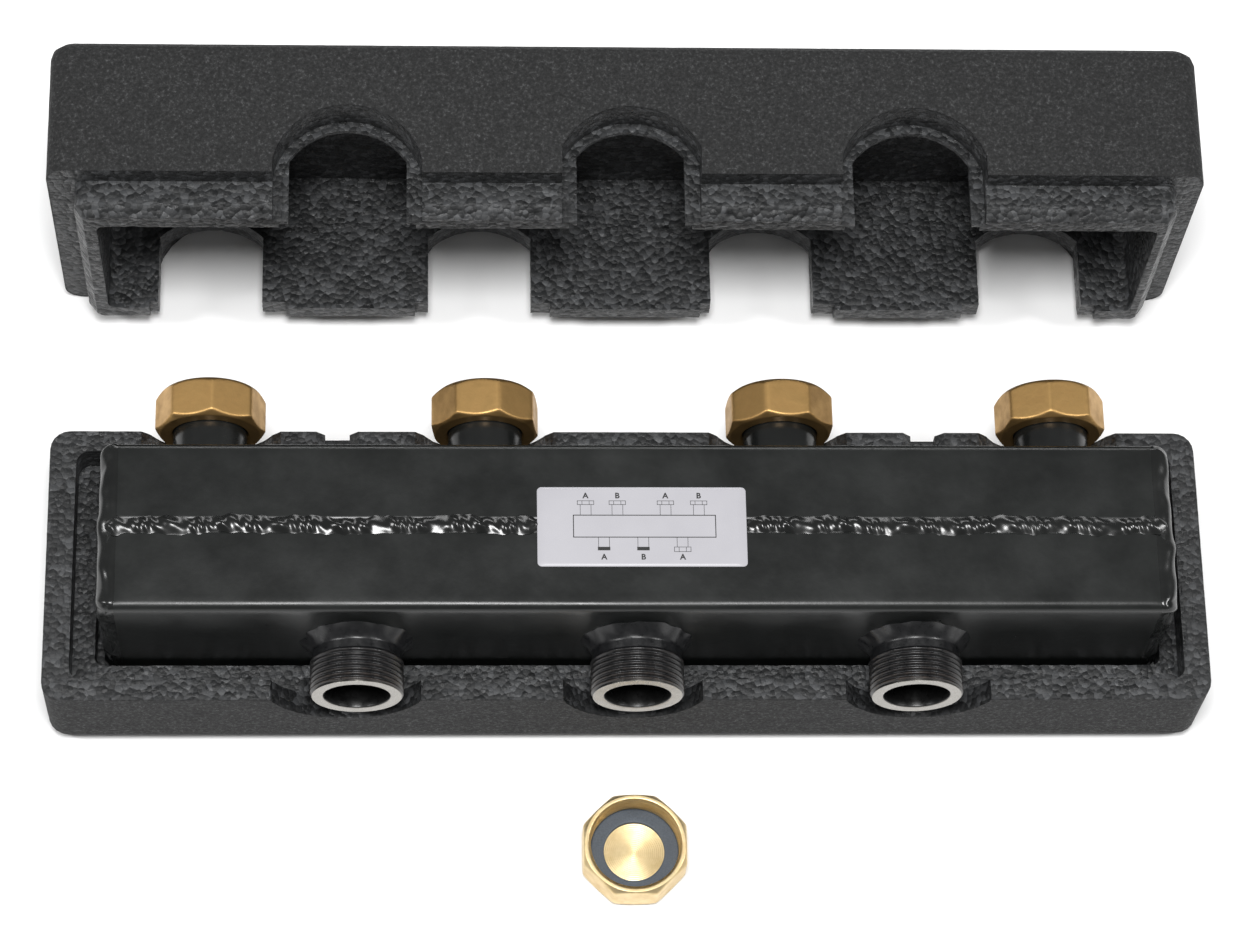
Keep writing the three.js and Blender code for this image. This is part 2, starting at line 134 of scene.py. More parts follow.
# %% [markdown]
# ## The studio
#
# The object is almost black, so it is the reflections that draw it. A dim white surround keeps
# the flat faces dark. Three compact soft lights hang overhead, one in the middle and one to
# each side: on every round neck and thread they draw three bright lines, and the middle one
# draws the long line on the box's lower fold. A fourth, low behind, catches the weld seam.

# %% Studio
FLOOR_REACH = 6.0


def make_floor():
    """One large pale sheet just under the object."""
    mesh = bpy.data.meshes.new("floor")
    corners = [(-1, -1), (1, -1), (1, 1), (-1, 1)]
    mesh.from_pydata([(x * FLOOR_REACH, y * FLOOR_REACH, -0.5 * MM) for x, y in corners],
                     [], [(0, 1, 2, 3)])
    floor = bpy.data.objects.new("floor", mesh)
    bpy.context.scene.collection.objects.link(floor)
    material = bpy.data.materials.new("floor_paper")
    material.use_nodes = True
    shader = material.node_tree.nodes["Principled BSDF"]
    shader.inputs["Base Color"].default_value = (0.93, 0.93, 0.93, 1)
    shader.inputs["Roughness"].default_value = 0.9
    mesh.materials.append(material)


def make_light(name, place, aim, size, power, stretch=1.0):
    """A rectangular light at place that faces aim; size is its width in metres."""
    data = bpy.data.lights.new(name, "AREA")
    data.shape = "RECTANGLE"
    data.size = size
    data.size_y = size * stretch
    data.energy = power
    light = bpy.data.objects.new(name, data)
    bpy.context.scene.collection.objects.link(light)
    light.location = place
    direction = Vector(aim) - Vector(place)
    light.rotation_euler = direction.to_track_quat("-Z", "Y").to_euler()


def make_world(strength):
    """An even white surround."""
    world = bpy.data.worlds.new("studio")
    world.use_nodes = True
    background = world.node_tree.nodes["Background"]
    background.inputs["Color"].default_value = (1, 1, 1, 1)
    background.inputs["Strength"].default_value = strength
    bpy.context.scene.world = world


make_floor()
make_world(0.24)
make_light("middle", (-0.1, -0.45, 2.3), (0, 0.08, 0), 0.55, 42)
make_light("left", (-1.75, -0.1, 1.6), (0, 0.05, 0), 0.5, 19)
make_light("right", (1.75, -0.1, 1.6), (0, 0.05, 0), 0.5, 19)
make_light("behind", (0.1, 2.4, 1.35), (0, 0.05, 0.05), 1.6, 16, 0.3)
bpy.context.scene.view_settings.view_transform = "Standard"

# %% [markdown]
# ## From arrays to meshes
#
# Every new piece is a grid of points: rows times columns. Its four-sided faces follow from the
# grid alone, so one helper serves them all. It closes the grid where it wraps, merges points
# that fall together at a pole, and turns the faces outwards by the sign of the volume inside.

# %% Surface helpers
def grid_faces(rows, cols, wrap_rows=False, wrap_cols=False):
    """Corner numbers of every face between neighbouring rows and columns."""
    i, j = np.meshgrid(np.arange(rows if wrap_rows else rows - 1),
                       np.arange(cols if wrap_cols else cols - 1), indexing="ij")
    i_next, j_next = (i + 1) % rows, (j + 1) % cols
    corners = [i * cols + j, i_next * cols + j, i_next * cols + j_next, i * cols + j_next]
    return np.stack(corners, -1).reshape(-1, 4)


def signed_volume(points, quads):
    """Volume by the divergence theorem: a sixth of a . (b x c), over two triangles a face."""
    a, b, c, d = (points[quads[:, corner]] for corner in range(4))
    first = np.einsum("ij,ij->i", a, np.cross(b, c))
    second = np.einsum("ij,ij->i", a, np.cross(c, d))
    return (first + second).sum() / 6


def mesh_object(name, points, faces, weld=1e-6):
    """A smooth-shaded object from points and faces, with coincident points merged."""
    mesh = bpy.data.meshes.new(name)
    mesh.from_pydata(points.tolist(), [], faces.tolist())
    work = bmesh.new()
    work.from_mesh(mesh)
    bmesh.ops.remove_doubles(work, verts=work.verts, dist=weld)
    bmesh.ops.dissolve_degenerate(work, edges=work.edges, dist=weld / 10)
    work.to_mesh(mesh)
    work.free()
    mesh.shade_smooth()
    piece = bpy.data.objects.new(name, mesh)
    bpy.context.scene.collection.objects.link(piece)
    print(f"{name}: {len(mesh.polygons)} faces")
    return piece


def surface(name, points, wrap_rows=True, wrap_cols=True):
    """A closed surface from a grid of points, shaped (rows, columns, 3), in metres."""
    rows, cols = points.shape[:2]
    flat = points.reshape(-1, 3)
    quads = grid_faces(rows, cols, wrap_rows, wrap_cols)
    if signed_volume(flat - flat.mean(0), quads) < 0:
        quads = quads[:, ::-1]
    return mesh_object(name, flat, quads)


def corner_points(piece):
    """All vertex places of a piece, as an array shaped (count, 3)."""
    places = np.empty(len(piece.data.vertices) * 3)
    piece.data.vertices.foreach_get("co", places)
    return places.reshape(-1, 3)


def paint_mask(piece, name, values):
    """Stores one number for every vertex, for a material to read by its name."""
    attribute = piece.data.attributes.new(name, "FLOAT", "POINT")
    attribute.data.foreach_set("value", np.asarray(values, dtype=np.float32))


def dress(piece, material, slot, *nodes):
    """The piece stands for its measured nodes, rides with them and wears a material."""
    piece.data.materials.clear()
    piece.data.materials.append(material)
    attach(piece, BODY_OF[nodes[0]])
    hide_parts(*nodes)


# %% [markdown]
# ## Smooth randomness
#
# Welds wander, castings ripple and foam is lumpy. A sum of a few sine waves with random phases
# is smooth noise along a line, and a seeded generator makes it the same in every run.

# %% Noise along a line
def waves(t, lengths, seed, period=None):
    """Smooth noise, mostly within -1 to 1: one sine per wavelength, with random phases.
    With a period, each wavelength is rounded so that whole waves fit into it."""
    generator = np.random.default_rng(seed)
    total = np.zeros_like(t, dtype=float)
    for length in lengths:
        cycles = 1 / length
        if period:
            cycles = max(round(period / length), 1) / period
        total += np.sin(2 * np.pi * (cycles * t + generator.random()))
    return total / math.sqrt(len(lengths))


def smooth_step(low, high, value):
    """0 below low, 1 above high, and 3t^2 - 2t^3 between."""
    t = np.clip((value - low) / (high - low), 0, 1)
    return t * t * (3 - 2 * t)


# %% [markdown]
# ## Materials from nodes
#
# Each finish is a small tree of nodes: a pattern on Object coordinates gives the colour its
# variation, and the same or another pattern drives roughness and bump. Because every piece
# sits unturned at the origin, one pattern size in metres fits all of them.

# %% Node helpers
def new_material(name):
    """A material with its node tree, its shader and an Object coordinate socket."""
    material = bpy.data.materials.new(name)
    material.use_nodes = True
    tree = material.node_tree
    place = tree.nodes.new("ShaderNodeTexCoord").outputs["Object"]
    return material, tree, tree.nodes["Principled BSDF"], place


def noise(tree, place, size, detail=3, roughness=0.55):
    """Cloud noise whose blobs are about size metres across; gives its factor."""
    node = tree.nodes.new("ShaderNodeTexNoise")
    node.inputs["Scale"].default_value = 1 / size
    node.inputs["Detail"].default_value = detail
    node.inputs["Roughness"].default_value = roughness
    tree.links.new(place, node.inputs["Vector"])
    return node.outputs["Fac"]


def cells(tree, place, size, feature="F1"):
    """Voronoi cells about size metres across."""
    node = tree.nodes.new("ShaderNodeTexVoronoi")
    node.feature = feature
    node.inputs["Scale"].default_value = 1 / size
    tree.links.new(place, node.inputs["Vector"])
    return node.outputs


def math_node(tree, operation, first, second):
    """One sum, product or power of two sockets or numbers."""
    node = tree.nodes.new("ShaderNodeMath")
    node.operation = operation
    for socket, value in zip(node.inputs, (first, second)):
        if isinstance(value, (int, float)):
            socket.default_value = value
        else:
            tree.links.new(value, socket)
    return node.outputs[0]


def ramp(tree, factor, *stops):
    """A colour ramp through (position, colour) stops; a number stands for a grey."""
    node = tree.nodes.new("ShaderNodeValToRGB")
    elements = node.color_ramp.elements
    while len(elements) < len(stops):
        elements.new(0.5)
    for element, (position, colour) in zip(elements, stops):
        element.position = position
        grey = isinstance(colour, (int, float))
        element.color = (colour, colour, colour, 1) if grey else (*colour, 1)
    tree.links.new(factor, node.inputs[0])
    return node.outputs[0]


def mix_colour(tree, factor, first, second):
    """Blends two colours, sockets or triples, by a factor."""
    node = tree.nodes.new("ShaderNodeMix")
    node.data_type = "RGBA"
    for socket, value in zip((node.inputs[0], node.inputs[6], node.inputs[7]),
                             (factor, first, second)):
        if isinstance(value, bpy.types.NodeSocket):
            tree.links.new(value, socket)
        elif isinstance(value, tuple):
            socket.default_value = (*value, 1)
        else:
            socket.default_value = value
    return node.outputs[2]


def bump(tree, height, distance, strength=1.0, below=None):
    """A bump of the given height in metres, on top of an earlier one if there is one."""
    node = tree.nodes.new("ShaderNodeBump")
    node.inputs["Distance"].default_value = distance
    if isinstance(strength, bpy.types.NodeSocket):
        tree.links.new(strength, node.inputs["Strength"])
    else:
        node.inputs["Strength"].default_value = strength
    tree.links.new(height, node.inputs["Height"])
    if below:
        tree.links.new(below, node.inputs["Normal"])
    return node.outputs[0]


def mask_value(tree, name):
    """The number stored on the piece under this name."""
    node = tree.nodes.new("ShaderNodeAttribute")
    node.attribute_name = name
    return node.outputs["Fac"]


# %% [markdown]
# ## Bead foam
#
# The insulation is expanded polypropylene: beads of foam blown into a steel mould and fused by
# steam. Against the mould the beads melt into a thin, finely mottled skin. On the rim, on the
# tongue and inside, the beads stay visible as a cobbled field of cells three millimetres wide,
# each with its own shade and gloss. The material blends the two by a number stored on the mesh.

# %% Foam material
BEAD_SIZE = 2.5 * MM


def foam_material():
    """Dark beads with their own shade and gloss; bump is a dome per bead plus fine grain."""
    material, tree, shader, place = new_material("bead_foam")
    bead = cells(tree, place, BEAD_SIZE)
    split = tree.nodes.new("ShaderNodeSeparateColor")
    tree.links.new(bead["Color"], split.inputs[0])
    shade = ramp(tree, split.outputs[0], (0.0, (0.012, 0.0125, 0.013)),
                 (0.6, (0.023, 0.024, 0.025)), (1.0, (0.060, 0.062, 0.065)))
    flecks = noise(tree, place, 1.5 * MM, 7, 0.78)
    mottle = ramp(tree, flecks, (0.38, (0.006, 0.0062, 0.0064)), (0.55, (0.015, 0.0153, 0.0156)),
                  (0.70, (0.075, 0.076, 0.078)))
    skin = mask_value(tree, "skin")
    tree.links.new(mix_colour(tree, skin, shade, mottle), shader.inputs["Base Color"])
    gloss = ramp(tree, split.outputs[1], (0.0, 0.30), (1.0, 0.55))
    rough = ramp(tree, flecks, (0.4, 0.85), (0.7, 0.6))
    tree.links.new(mix_colour(tree, skin, gloss, rough), shader.inputs["Roughness"])
    shader.inputs["Specular IOR Level"].default_value = 0.35
    dome = ramp(tree, bead["Distance"], (0.0, 1.0), (0.5, 0.6), (0.85, 0.0))
    strength = math_node(tree, "SUBTRACT", 1.0, math_node(tree, "MULTIPLY", skin, 0.8))
    domed = bump(tree, dome, 0.5 * MM, strength)
    tree.links.new(bump(tree, noise(tree, place, 0.8 * MM, 4, 0.7), 0.2 * MM, 1.0, domed),
                   shader.inputs["Normal"])
    return material


FOAM = foam_material()

# %% [markdown]
# ## The shells' surface
#
# A shell has too many steps and archways for one formula. We copy the measured shell, split
# its long edges until the triangles are about as small as a bead, and then move every vertex
# along its normal by a bead pattern. The pattern is Worley noise: space is cut into cubes, each
# holds one bead centre at a random place, and a point's height falls with the square of its
# distance to the nearest centre.

# %% Beads from numpy
def cube_randoms(cubes, seed):
    """Three random numbers per integer cube, by mixing its coordinates' bits."""
    keys = cubes.astype(np.uint64)
    mixed = (keys[..., 0] * np.uint64(73856093) ^ keys[..., 1] * np.uint64(19349663)
             ^ keys[..., 2] * np.uint64(83492791)) + np.uint64(seed)
    numbers = []
    for _ in range(3):
        mixed = (mixed ^ (mixed >> np.uint64(30))) * np.uint64(0xBF58476D1CE4E5B9)
        mixed = (mixed ^ (mixed >> np.uint64(27))) * np.uint64(0x94D049BB133111EB)
        mixed = mixed ^ (mixed >> np.uint64(31))
        numbers.append((mixed >> np.uint64(11)).astype(np.float64) / 2.0 ** 53)
    return np.stack(numbers, -1)


def bead_heights(points, size, seed):
    """1 at a bead's middle, falling as 1 - (distance / size)^2 to the nearest bead centre."""
    home = np.floor(points / size)
    nearest = np.full(len(points), np.inf)
    steps = np.stack(np.meshgrid([-1, 0, 1], [-1, 0, 1], [-1, 0, 1], indexing="ij"), -1)
    for step in steps.reshape(-1, 3):
        cube = home + step
        centre = (cube + cube_randoms((cube + 4096).astype(np.int64), seed)) * size
        nearest = np.minimum(nearest, ((points - centre) ** 2).sum(1))
    return 1 - np.minimum(nearest / size ** 2, 1)


# %% [markdown]
# ## Which faces touched the mould's polished wall
#
# The skin is smooth where the outside of a shell lay against the mould. A vertex counts as
# skin when it lies near one side of the shell's own box and its normal points out through
# that side. The rim side is left out, because its beads are open.

# %% Make both shells
EDGE_REACH = 8.5 * MM
RIM_BEADS = 0.42 * MM
SKIN_BEADS = 0.10 * MM
BEAD_EDGE = 2.3 * MM
SKIN_EDGE = 4.4 * MM
MOST_ROUNDS = 12
MOST_TRIANGLES = 190_000
CREASE = math.radians(38)


def outer_skin(points, normals, rim_axis, rim_end):
    """1 where a point is near a side of the box and its normal leaves through that side."""
    low, high = points.min(0), points.max(0)
    skin = np.zeros(len(points))
    for axis in range(3):
        for end, wall in ((-1, low), (1, high)):
            if axis == rim_axis and end == rim_end:
                continue
            near = np.abs(points[:, axis] - wall[axis]) < EDGE_REACH
            faces_out = smooth_step(0.3, 0.6, normals[:, axis] * end)
            skin = np.maximum(skin, near * faces_out)
    return skin


def split_long_edges(points, faces, is_long):
    """One round of halving: every long edge gets a middle point, and a triangle with one, two
    or three of them becomes two, three or four triangles."""
    sides = np.sort(np.stack([faces, np.roll(faces, -1, axis=1)], -1), axis=-1)
    keys, which = np.unique(sides[..., 0] * len(points) + sides[..., 1], return_inverse=True)
    first, second = np.divmod(keys, len(points))
    long = is_long(points[first], points[second])
    number = np.where(long, len(points) + np.cumsum(long) - 1, -1)
    middle = number[which].reshape(-1, 3)
    points = np.concatenate([points, (points[first[long]] + points[second[long]]) / 2])
    parts = [faces[(middle < 0).all(1)]]
    for turn in range(3):
        a, b, c = np.roll(faces, -turn, axis=1).T
        ab, bc, ca = np.roll(middle, -turn, axis=1).T
        one = (ab >= 0) & (bc < 0) & (ca < 0)
        two = (ab >= 0) & (bc >= 0) & (ca < 0)
        for pick, corners in ((one, (a, ab, c)), (one, (ab, b, c)), (two, (ab, b, bc)),
                              (two, (a, ab, bc)), (two, (a, bc, c))):
            parts.append(np.stack(corners, -1)[pick])
    every = (middle >= 0).all(1)
    a, b, c = faces.T
    ab, bc, ca = middle.T
    for corners in ((a, ab, ca), (ab, b, bc), (ca, bc, c), (ab, bc, ca)):
        parts.append(np.stack(corners, -1)[every])
    return points, np.concatenate(parts), long.any()


def fine_triangles(node, rim_axis, rim_end):
    """A merged copy of a measured node whose long edges are halved until none is left: an
    edge on the smooth outside may stay longer than one on a beaded face."""
    low, high = span(node)
    walls = [(axis, end[axis]) for axis in range(3) for end in (low, high)
             if not (axis == rim_axis and (end is high) == (rim_end > 0))]

    def is_long(first, second):
        length = np.linalg.norm(first - second, axis=1)
        outside = np.zeros(len(first), dtype=bool)
        for axis, wall in walls:
            on_wall = (abs(first[:, axis] - wall) < 1e-4) & (abs(second[:, axis] - wall) < 1e-4)
            outside |= on_wall
        return length > np.where(outside, SKIN_EDGE, BEAD_EDGE)

    work = bmesh.new()
    work.from_mesh(NODES[node].data)
    bmesh.ops.remove_doubles(work, verts=work.verts, dist=1e-6)
    points = np.array([corner.co[:] for corner in work.verts])
    faces = np.array([[corner.index for corner in face.verts] for face in work.faces])
    work.free()
    for _ in range(MOST_ROUNDS):
        points, faces, changed = split_long_edges(points, faces, is_long)
        if not changed:
            break
    mesh = bpy.data.meshes.new(node + "_fine")
    mesh.from_pydata(points, [], faces)
    mesh.update()
    return mesh


def press_marks(points, normals, places):
    """How deep a point lies in a ball-shaped mark: the rest of the ball's radius, or 0."""
    depth = np.zeros(len(points))
    for place in places:
        depth = np.maximum(depth, MARK_RADIUS - np.linalg.norm(points - place, axis=1))
    return -0.8 * depth[:, None] * normals


def thinned(mesh, most):
    """A copy of the mesh whose flattest edges are collapsed until `most` triangles are left."""
    carrier = bpy.data.objects.new("carrier", mesh)
    bpy.context.scene.collection.objects.link(carrier)
    collapse = carrier.modifiers.new("collapse", "DECIMATE")
    collapse.ratio = min(1.0, most / len(mesh.polygons))
    bpy.context.view_layer.update()
    posed = carrier.evaluated_get(bpy.context.evaluated_depsgraph_get())
    result = bpy.data.meshes.new_from_object(posed)
    bpy.data.objects.remove(carrier)
    bpy.data.meshes.remove(mesh)
    return result


def corner_normals(mesh):
    normals = np.empty(len(mesh.vertices) * 3)
    mesh.vertices.foreach_get("normal", normals)
    return normals.reshape(-1, 3)


def make_shell(name, node, rim_axis, rim_end, seed, marks=()):
    """The measured shell with beads raised along its normals, then thinned: the triangles
    that are left lie where the surface bends."""
    mesh = fine_triangles(node, rim_axis, rim_end)
    points = np.array([corner.co[:] for corner in mesh.vertices])
    normals = corner_normals(mesh)
    skin = outer_skin(points, normals, rim_axis, rim_end)
    height = RIM_BEADS + (SKIN_BEADS - RIM_BEADS) * skin
    rise = (bead_heights(points, BEAD_SIZE, seed) - 0.75) * height
    moved = points + normals * rise[:, None] + press_marks(points, normals, marks)
    mesh.vertices.foreach_set("co", moved.ravel())
    mesh = thinned(mesh, MOST_TRIANGLES)
    mesh.name = name
    piece = bpy.data.objects.new(name, mesh)
    bpy.context.scene.collection.objects.link(piece)
    skin = outer_skin(corner_points(piece), corner_normals(mesh), rim_axis, rim_end)
    mesh.shade_smooth()
    mesh.set_sharp_from_angle(angle=CREASE)
    paint_mask(piece, "skin", skin)
    dress(piece, FOAM, "foam", node)
    print(f"{name}: {len(mesh.polygons)} faces, {skin.mean():.0%} skin")


MARK_RADIUS = 3.4 * MM
FRONT_LOW, FRONT_HIGH = span("front_shell")
TONGUE_FACE = FRONT_HIGH[2] - 10.3 * MM
MARKS = [(x * MM, FRONT_LOW[1] + 0.5 * MM, TONGUE_FACE - 1.5 * MM)
         for x in (-202, -168, -45, 43, 78, 199)]
make_shell("foam_rear", "rear_shell", 2, 1, 11)
make_shell("foam_front", "front_shell", 1, -1, 23, MARKS)

# %% [markdown]
# ## Black paint on steel
#
# The box is sprayed with a satin black enamel. The paint levels out but leaves a faint orange
# peel, and here and there it is a little thinner and duller. A low bump three millimetres wide
# bends the reflections, and a slow noise varies the gloss.

# %% Paint material
def paint_material(name, colour, shine):
    """Satin enamel: slow gloss noise, orange peel and a few duller, dustier patches."""
    material, tree, shader, place = new_material(name)
    dust = noise(tree, place, 30 * MM, 5, 0.6)
    bright = tuple(channel * 1.7 for channel in colour)
    tree.links.new(ramp(tree, dust, (0.35, colour), (0.75, bright)), shader.inputs["Base Color"])
    tree.links.new(ramp(tree, dust, (0.3, shine), (0.7, shine + 0.12)), shader.inputs["Roughness"])
    peel = bump(tree, noise(tree, place, 3.5 * MM, 2, 0.4), 0.05 * MM)
    tree.links.new(bump(tree, noise(tree, place, 0.5 * MM, 2), 0.006 * MM, 1.0, peel),
                   shader.inputs["Normal"])
    return material


PAINT = paint_material("black_enamel", (0.0048, 0.0056, 0.0053), 0.27)

# %% [markdown]
# ## The folded box
#
# Two channels make the box. Each is one sheet: a flange, a fold, a wall with round holes for
# the pipes, another fold and a flange. The holes are the difficulty. Around each hole we lay a
# square patch whose rows run from the circle out to the square, and plain patches fill the
# rest. All patches share the same points along their borders, so merging joins them. The
# Solidify modifier then gives the sheet its three millimetres.

# %% Channel sheets
SHEET = 3 * MM
FOLD_RADIUS = 4 * MM
SIDE_STEPS = 24


def wall_patch(centre_x, middle_z, radius, reach):
    """A square patch round a hole: a point is circle + (square - circle) * t, where both
    circle and square are walked in the same steps, and t runs from 0 to 1."""
    side = np.linspace(-1, 1, SIDE_STEPS + 1)[:-1]
    one = np.ones_like(side)
    square = np.concatenate([np.stack([side, -one], -1), np.stack([one, side], -1),
                             np.stack([-side, one], -1), np.stack([-one, -side], -1)]) * reach
    circle = square / np.linalg.norm(square, axis=1)[:, None] * radius
    t = np.linspace(0, 1, 8)[:, None, None]
    flat = circle + (square - circle) * t
    return np.stack([centre_x + flat[..., 0], middle_z + flat[..., 1]], -1)


def outward_faces(points, quads, inside):
    """The quads, reversed if their normals point towards the inside point on average."""
    a, b, c, d = (points[quads[:, corner]] for corner in range(4))
    normals = np.cross(c - a, d - b)
    outwards = (normals * ((a + b + c + d) / 4 - inside)).sum()
    return quads if outwards > 0 else quads[:, ::-1]


def face_waviness(x, y):
    """How far the front sheet stands from flat: slow waves left by welding, in metres."""
    return (waves(x, (0.31, 0.17), 5) * 0.10 + waves(y, (0.05,), 6) * 0.04) * MM


def end_roll(x):
    """The sheet dips towards both ends, where its weld to the end plate was ground off."""
    distance = np.minimum(x - BOX_LEFT, BOX_RIGHT - x)
    return -1.1 * MM * (1 - smooth_step(3 * MM, 12 * MM, distance)) ** 2


def make_channel(name, node, side, ports, bore):
    """One folded channel: flange and fold strips in front and behind, and a wall of patches."""
    low, high = span(node)
    middle_z = ports[0][1]
    reach = (BOX_FRONT - BOX_BACK) / 2 - FOLD_RADIUS
    edges = np.sort(np.concatenate([[low[0], high[0]], ports[:, 0] - reach, ports[:, 0] + reach]))
    x_parts, patches = [], []
    for number, (left, right) in enumerate(zip(edges[:-1], edges[1:])):
        around_port = number % 2 == 1
        steps = SIDE_STEPS if around_port else max(int((right - left) / (3 * MM)), 4)
        part = np.linspace(left, right, steps + 1)
        x_parts.append(part[:-1])
        if around_port:
            patches.append((wall_patch((left + right) / 2, middle_z, bore, reach), True))
        else:
            z = np.linspace(middle_z - reach, middle_z + reach, SIDE_STEPS + 1)
            patches.append((np.stack(np.meshgrid(part, z, indexing="ij"), -1), False))
    x = np.concatenate(x_parts + [[high[0]]])
    wall_y = abs(BOX_UPPER)
    flange = np.linspace(min(abs(low[1]), abs(high[1])), wall_y - FOLD_RADIUS, 14)
    bend = np.linspace(math.pi / 2, 0, 9)[1:]
    strip_y = np.concatenate([flange, wall_y - FOLD_RADIUS + FOLD_RADIUS * np.cos(bend)])
    strip_z = np.concatenate([np.full_like(flange, reach + FOLD_RADIUS),
                              reach + FOLD_RADIUS * np.sin(bend)])
    inside = np.array([0, side * wall_y * 0.3, middle_z])
    all_points, all_quads, offset = [], [], 0

    def lay(points, quads):
        nonlocal offset
        flat = points.reshape(-1, 3)
        all_points.append(flat)
        all_quads.append(outward_faces(flat, quads, inside) + offset)
        offset += len(flat)

    for facing in (1, -1):
        grid_x, grid_y = np.meshgrid(x, strip_y, indexing="ij")
        grid_z = np.broadcast_to(strip_z, grid_x.shape)
        flatness = smooth_step(wall_y, wall_y - 8 * MM, grid_y)
        dip = (end_roll(grid_x) + face_waviness(grid_x, side * grid_y)) * flatness
        points = np.stack([grid_x, side * grid_y, middle_z + facing * (grid_z + dip)], -1)
        lay(points, grid_faces(len(x), len(strip_y)))
    for patch, closed in patches:
        points = np.stack([patch[..., 0], np.full(patch.shape[:2], side * wall_y),
                           patch[..., 1]], -1)
        lay(points, grid_faces(*patch.shape[:2], wrap_cols=closed))
    piece = mesh_object(name, np.concatenate(all_points), np.concatenate(all_quads), 2e-6)
    thick = piece.modifiers.new("sheet", "SOLIDIFY")
    thick.thickness = SHEET
    thick.offset = -1
    dress(piece, PAINT, "box_paint", node)
    return piece


UPPER_BORE = (span("pass_tube_1")[1][0] - span("pass_tube_1")[0][0]) / 2 - 2.6 * MM
make_channel("box_upper_half", "upper_channel", 1, UPPER, UPPER_BORE)
make_channel("box_lower_half", "lower_channel", -1, LOWER, UPPER_BORE)

# %% [markdown]
# ## End plates
#
# A plate is welded on at each end of the box. The weld was ground by hand, so the front face
# does not end in a corner but rolls off over the last eight millimetres, unevenly, with a dent
# where the seam arrives. The piece is a stack of rounded squares: each row has its own distance
# from the end and its own height against the box's faces, and slow noise moves both.

# %% End plates
# Distance from the end and height above the box's faces, in millimetres, from inside to out.
GROUND_WELD = np.array([[9.0, -1.6], [9.0, -0.35], [8.0, 0.0], [6.6, 0.14], [5.4, 0.05],
                        [4.3, -0.20], [3.2, -0.65], [2.2, -1.25], [1.3, -2.05], [0.6, -3.0],
                        [0.2, -4.1], [0.0, -5.4]]) * MM


def rounded_square(half_width, radius, corner_steps=8, side_steps=40):
    """Outline points of a square with round corners: each quarter is an arc, then a side."""
    quarter = np.linspace(0, math.pi / 2, corner_steps + 1)
    straight = half_width - radius
    arc = np.stack([straight + radius * np.cos(quarter), straight + radius * np.sin(quarter)], -1)
    side = np.stack([np.linspace(straight, -straight, side_steps + 1)[1:-1],
                     np.full(side_steps - 1, half_width)], -1)
    first = np.concatenate([arc, side])
    turns = [np.array([[math.cos(a), math.sin(a)], [-math.sin(a), math.cos(a)]])
             for a in np.arange(4) * math.pi / 2]
    return np.concatenate([first @ turn for turn in turns])


def make_end_plate(name, node, outward, seed):
    """Rows run from the middle of the hidden side, over the ground weld, to the middle of the
    outside. A row's outline is the square grown by its height; the last rows shrink it."""
    low, high = span(node)
    half = (high[1] - low[1]) / 2
    middle_z = (high[2] + low[2]) / 2
    end_x = low[0] if outward < 0 else high[0]
    square = rounded_square(half, FOLD_RADIUS)
    reach = np.abs(square).max(1)
    around = np.arange(len(square)) / len(square)
    uneven = waves(around, (0.11, 0.047, 0.023), seed, 1.0)
    wander = waves(around, (0.17, 0.06), seed + 1, 1.0)
    to_seam = (square[:, 0] + 4 * MM) ** 2 + (square[:, 1] - half) ** 2
    dent = np.exp(-to_seam / (2 * (2.8 * MM) ** 2))
    rows = []
    for scale in (0.0, 0.45):
        rows.append(np.concatenate([np.full((len(square), 1), 3 * MM), square * scale], 1))
    for inset, rise in GROUND_WELD:
        worked = float(smooth_step(8.5 * MM, 4 * MM, inset) * smooth_step(-0.2 * MM, 0.6 * MM, inset))
        height = rise + 0.22 * MM * uneven * worked - 1.5 * MM * dent * worked
        away = inset + 0.8 * MM * wander * worked
        rows.append(np.concatenate([away[:, None] if np.ndim(away) else np.full((len(square), 1), away),
                                    square * (1 + height / reach)[:, None]], 1))
    for scale in np.linspace(0.8, 0, 9):
        rows.append(np.concatenate([np.zeros((len(square), 1)), square * scale], 1))
    grid = np.stack(rows)
    points = np.stack([end_x - outward * grid[..., 0], grid[..., 1], middle_z + grid[..., 2]], -1)
    piece = surface(name, points, wrap_rows=False)
    dress(piece, PAINT_GLOSS, "box_paint", node)


PAINT_GLOSS = paint_material("black_enamel_thick", (0.0060, 0.0065, 0.0063), 0.17)
make_end_plate("end_plate_left", "left_end_plate", -1, 8)
make_end_plate("end_plate_right", "right_end_plate", 1, 14)

# %% [markdown]
# ## The weld seam
#
# Where the channels meet, a hand-laid weld bead runs along the middle of the face. A bead is a
# row of overlapping puddles. Its section is a low bell that runs out smoothly into the sheet.
# Along the seam, the height rises and falls with each puddle, the puddle fronts lie askew, and
# the height, the width and the path wander slowly.

# %% Weld beads
PUDDLE = 5.6 * MM


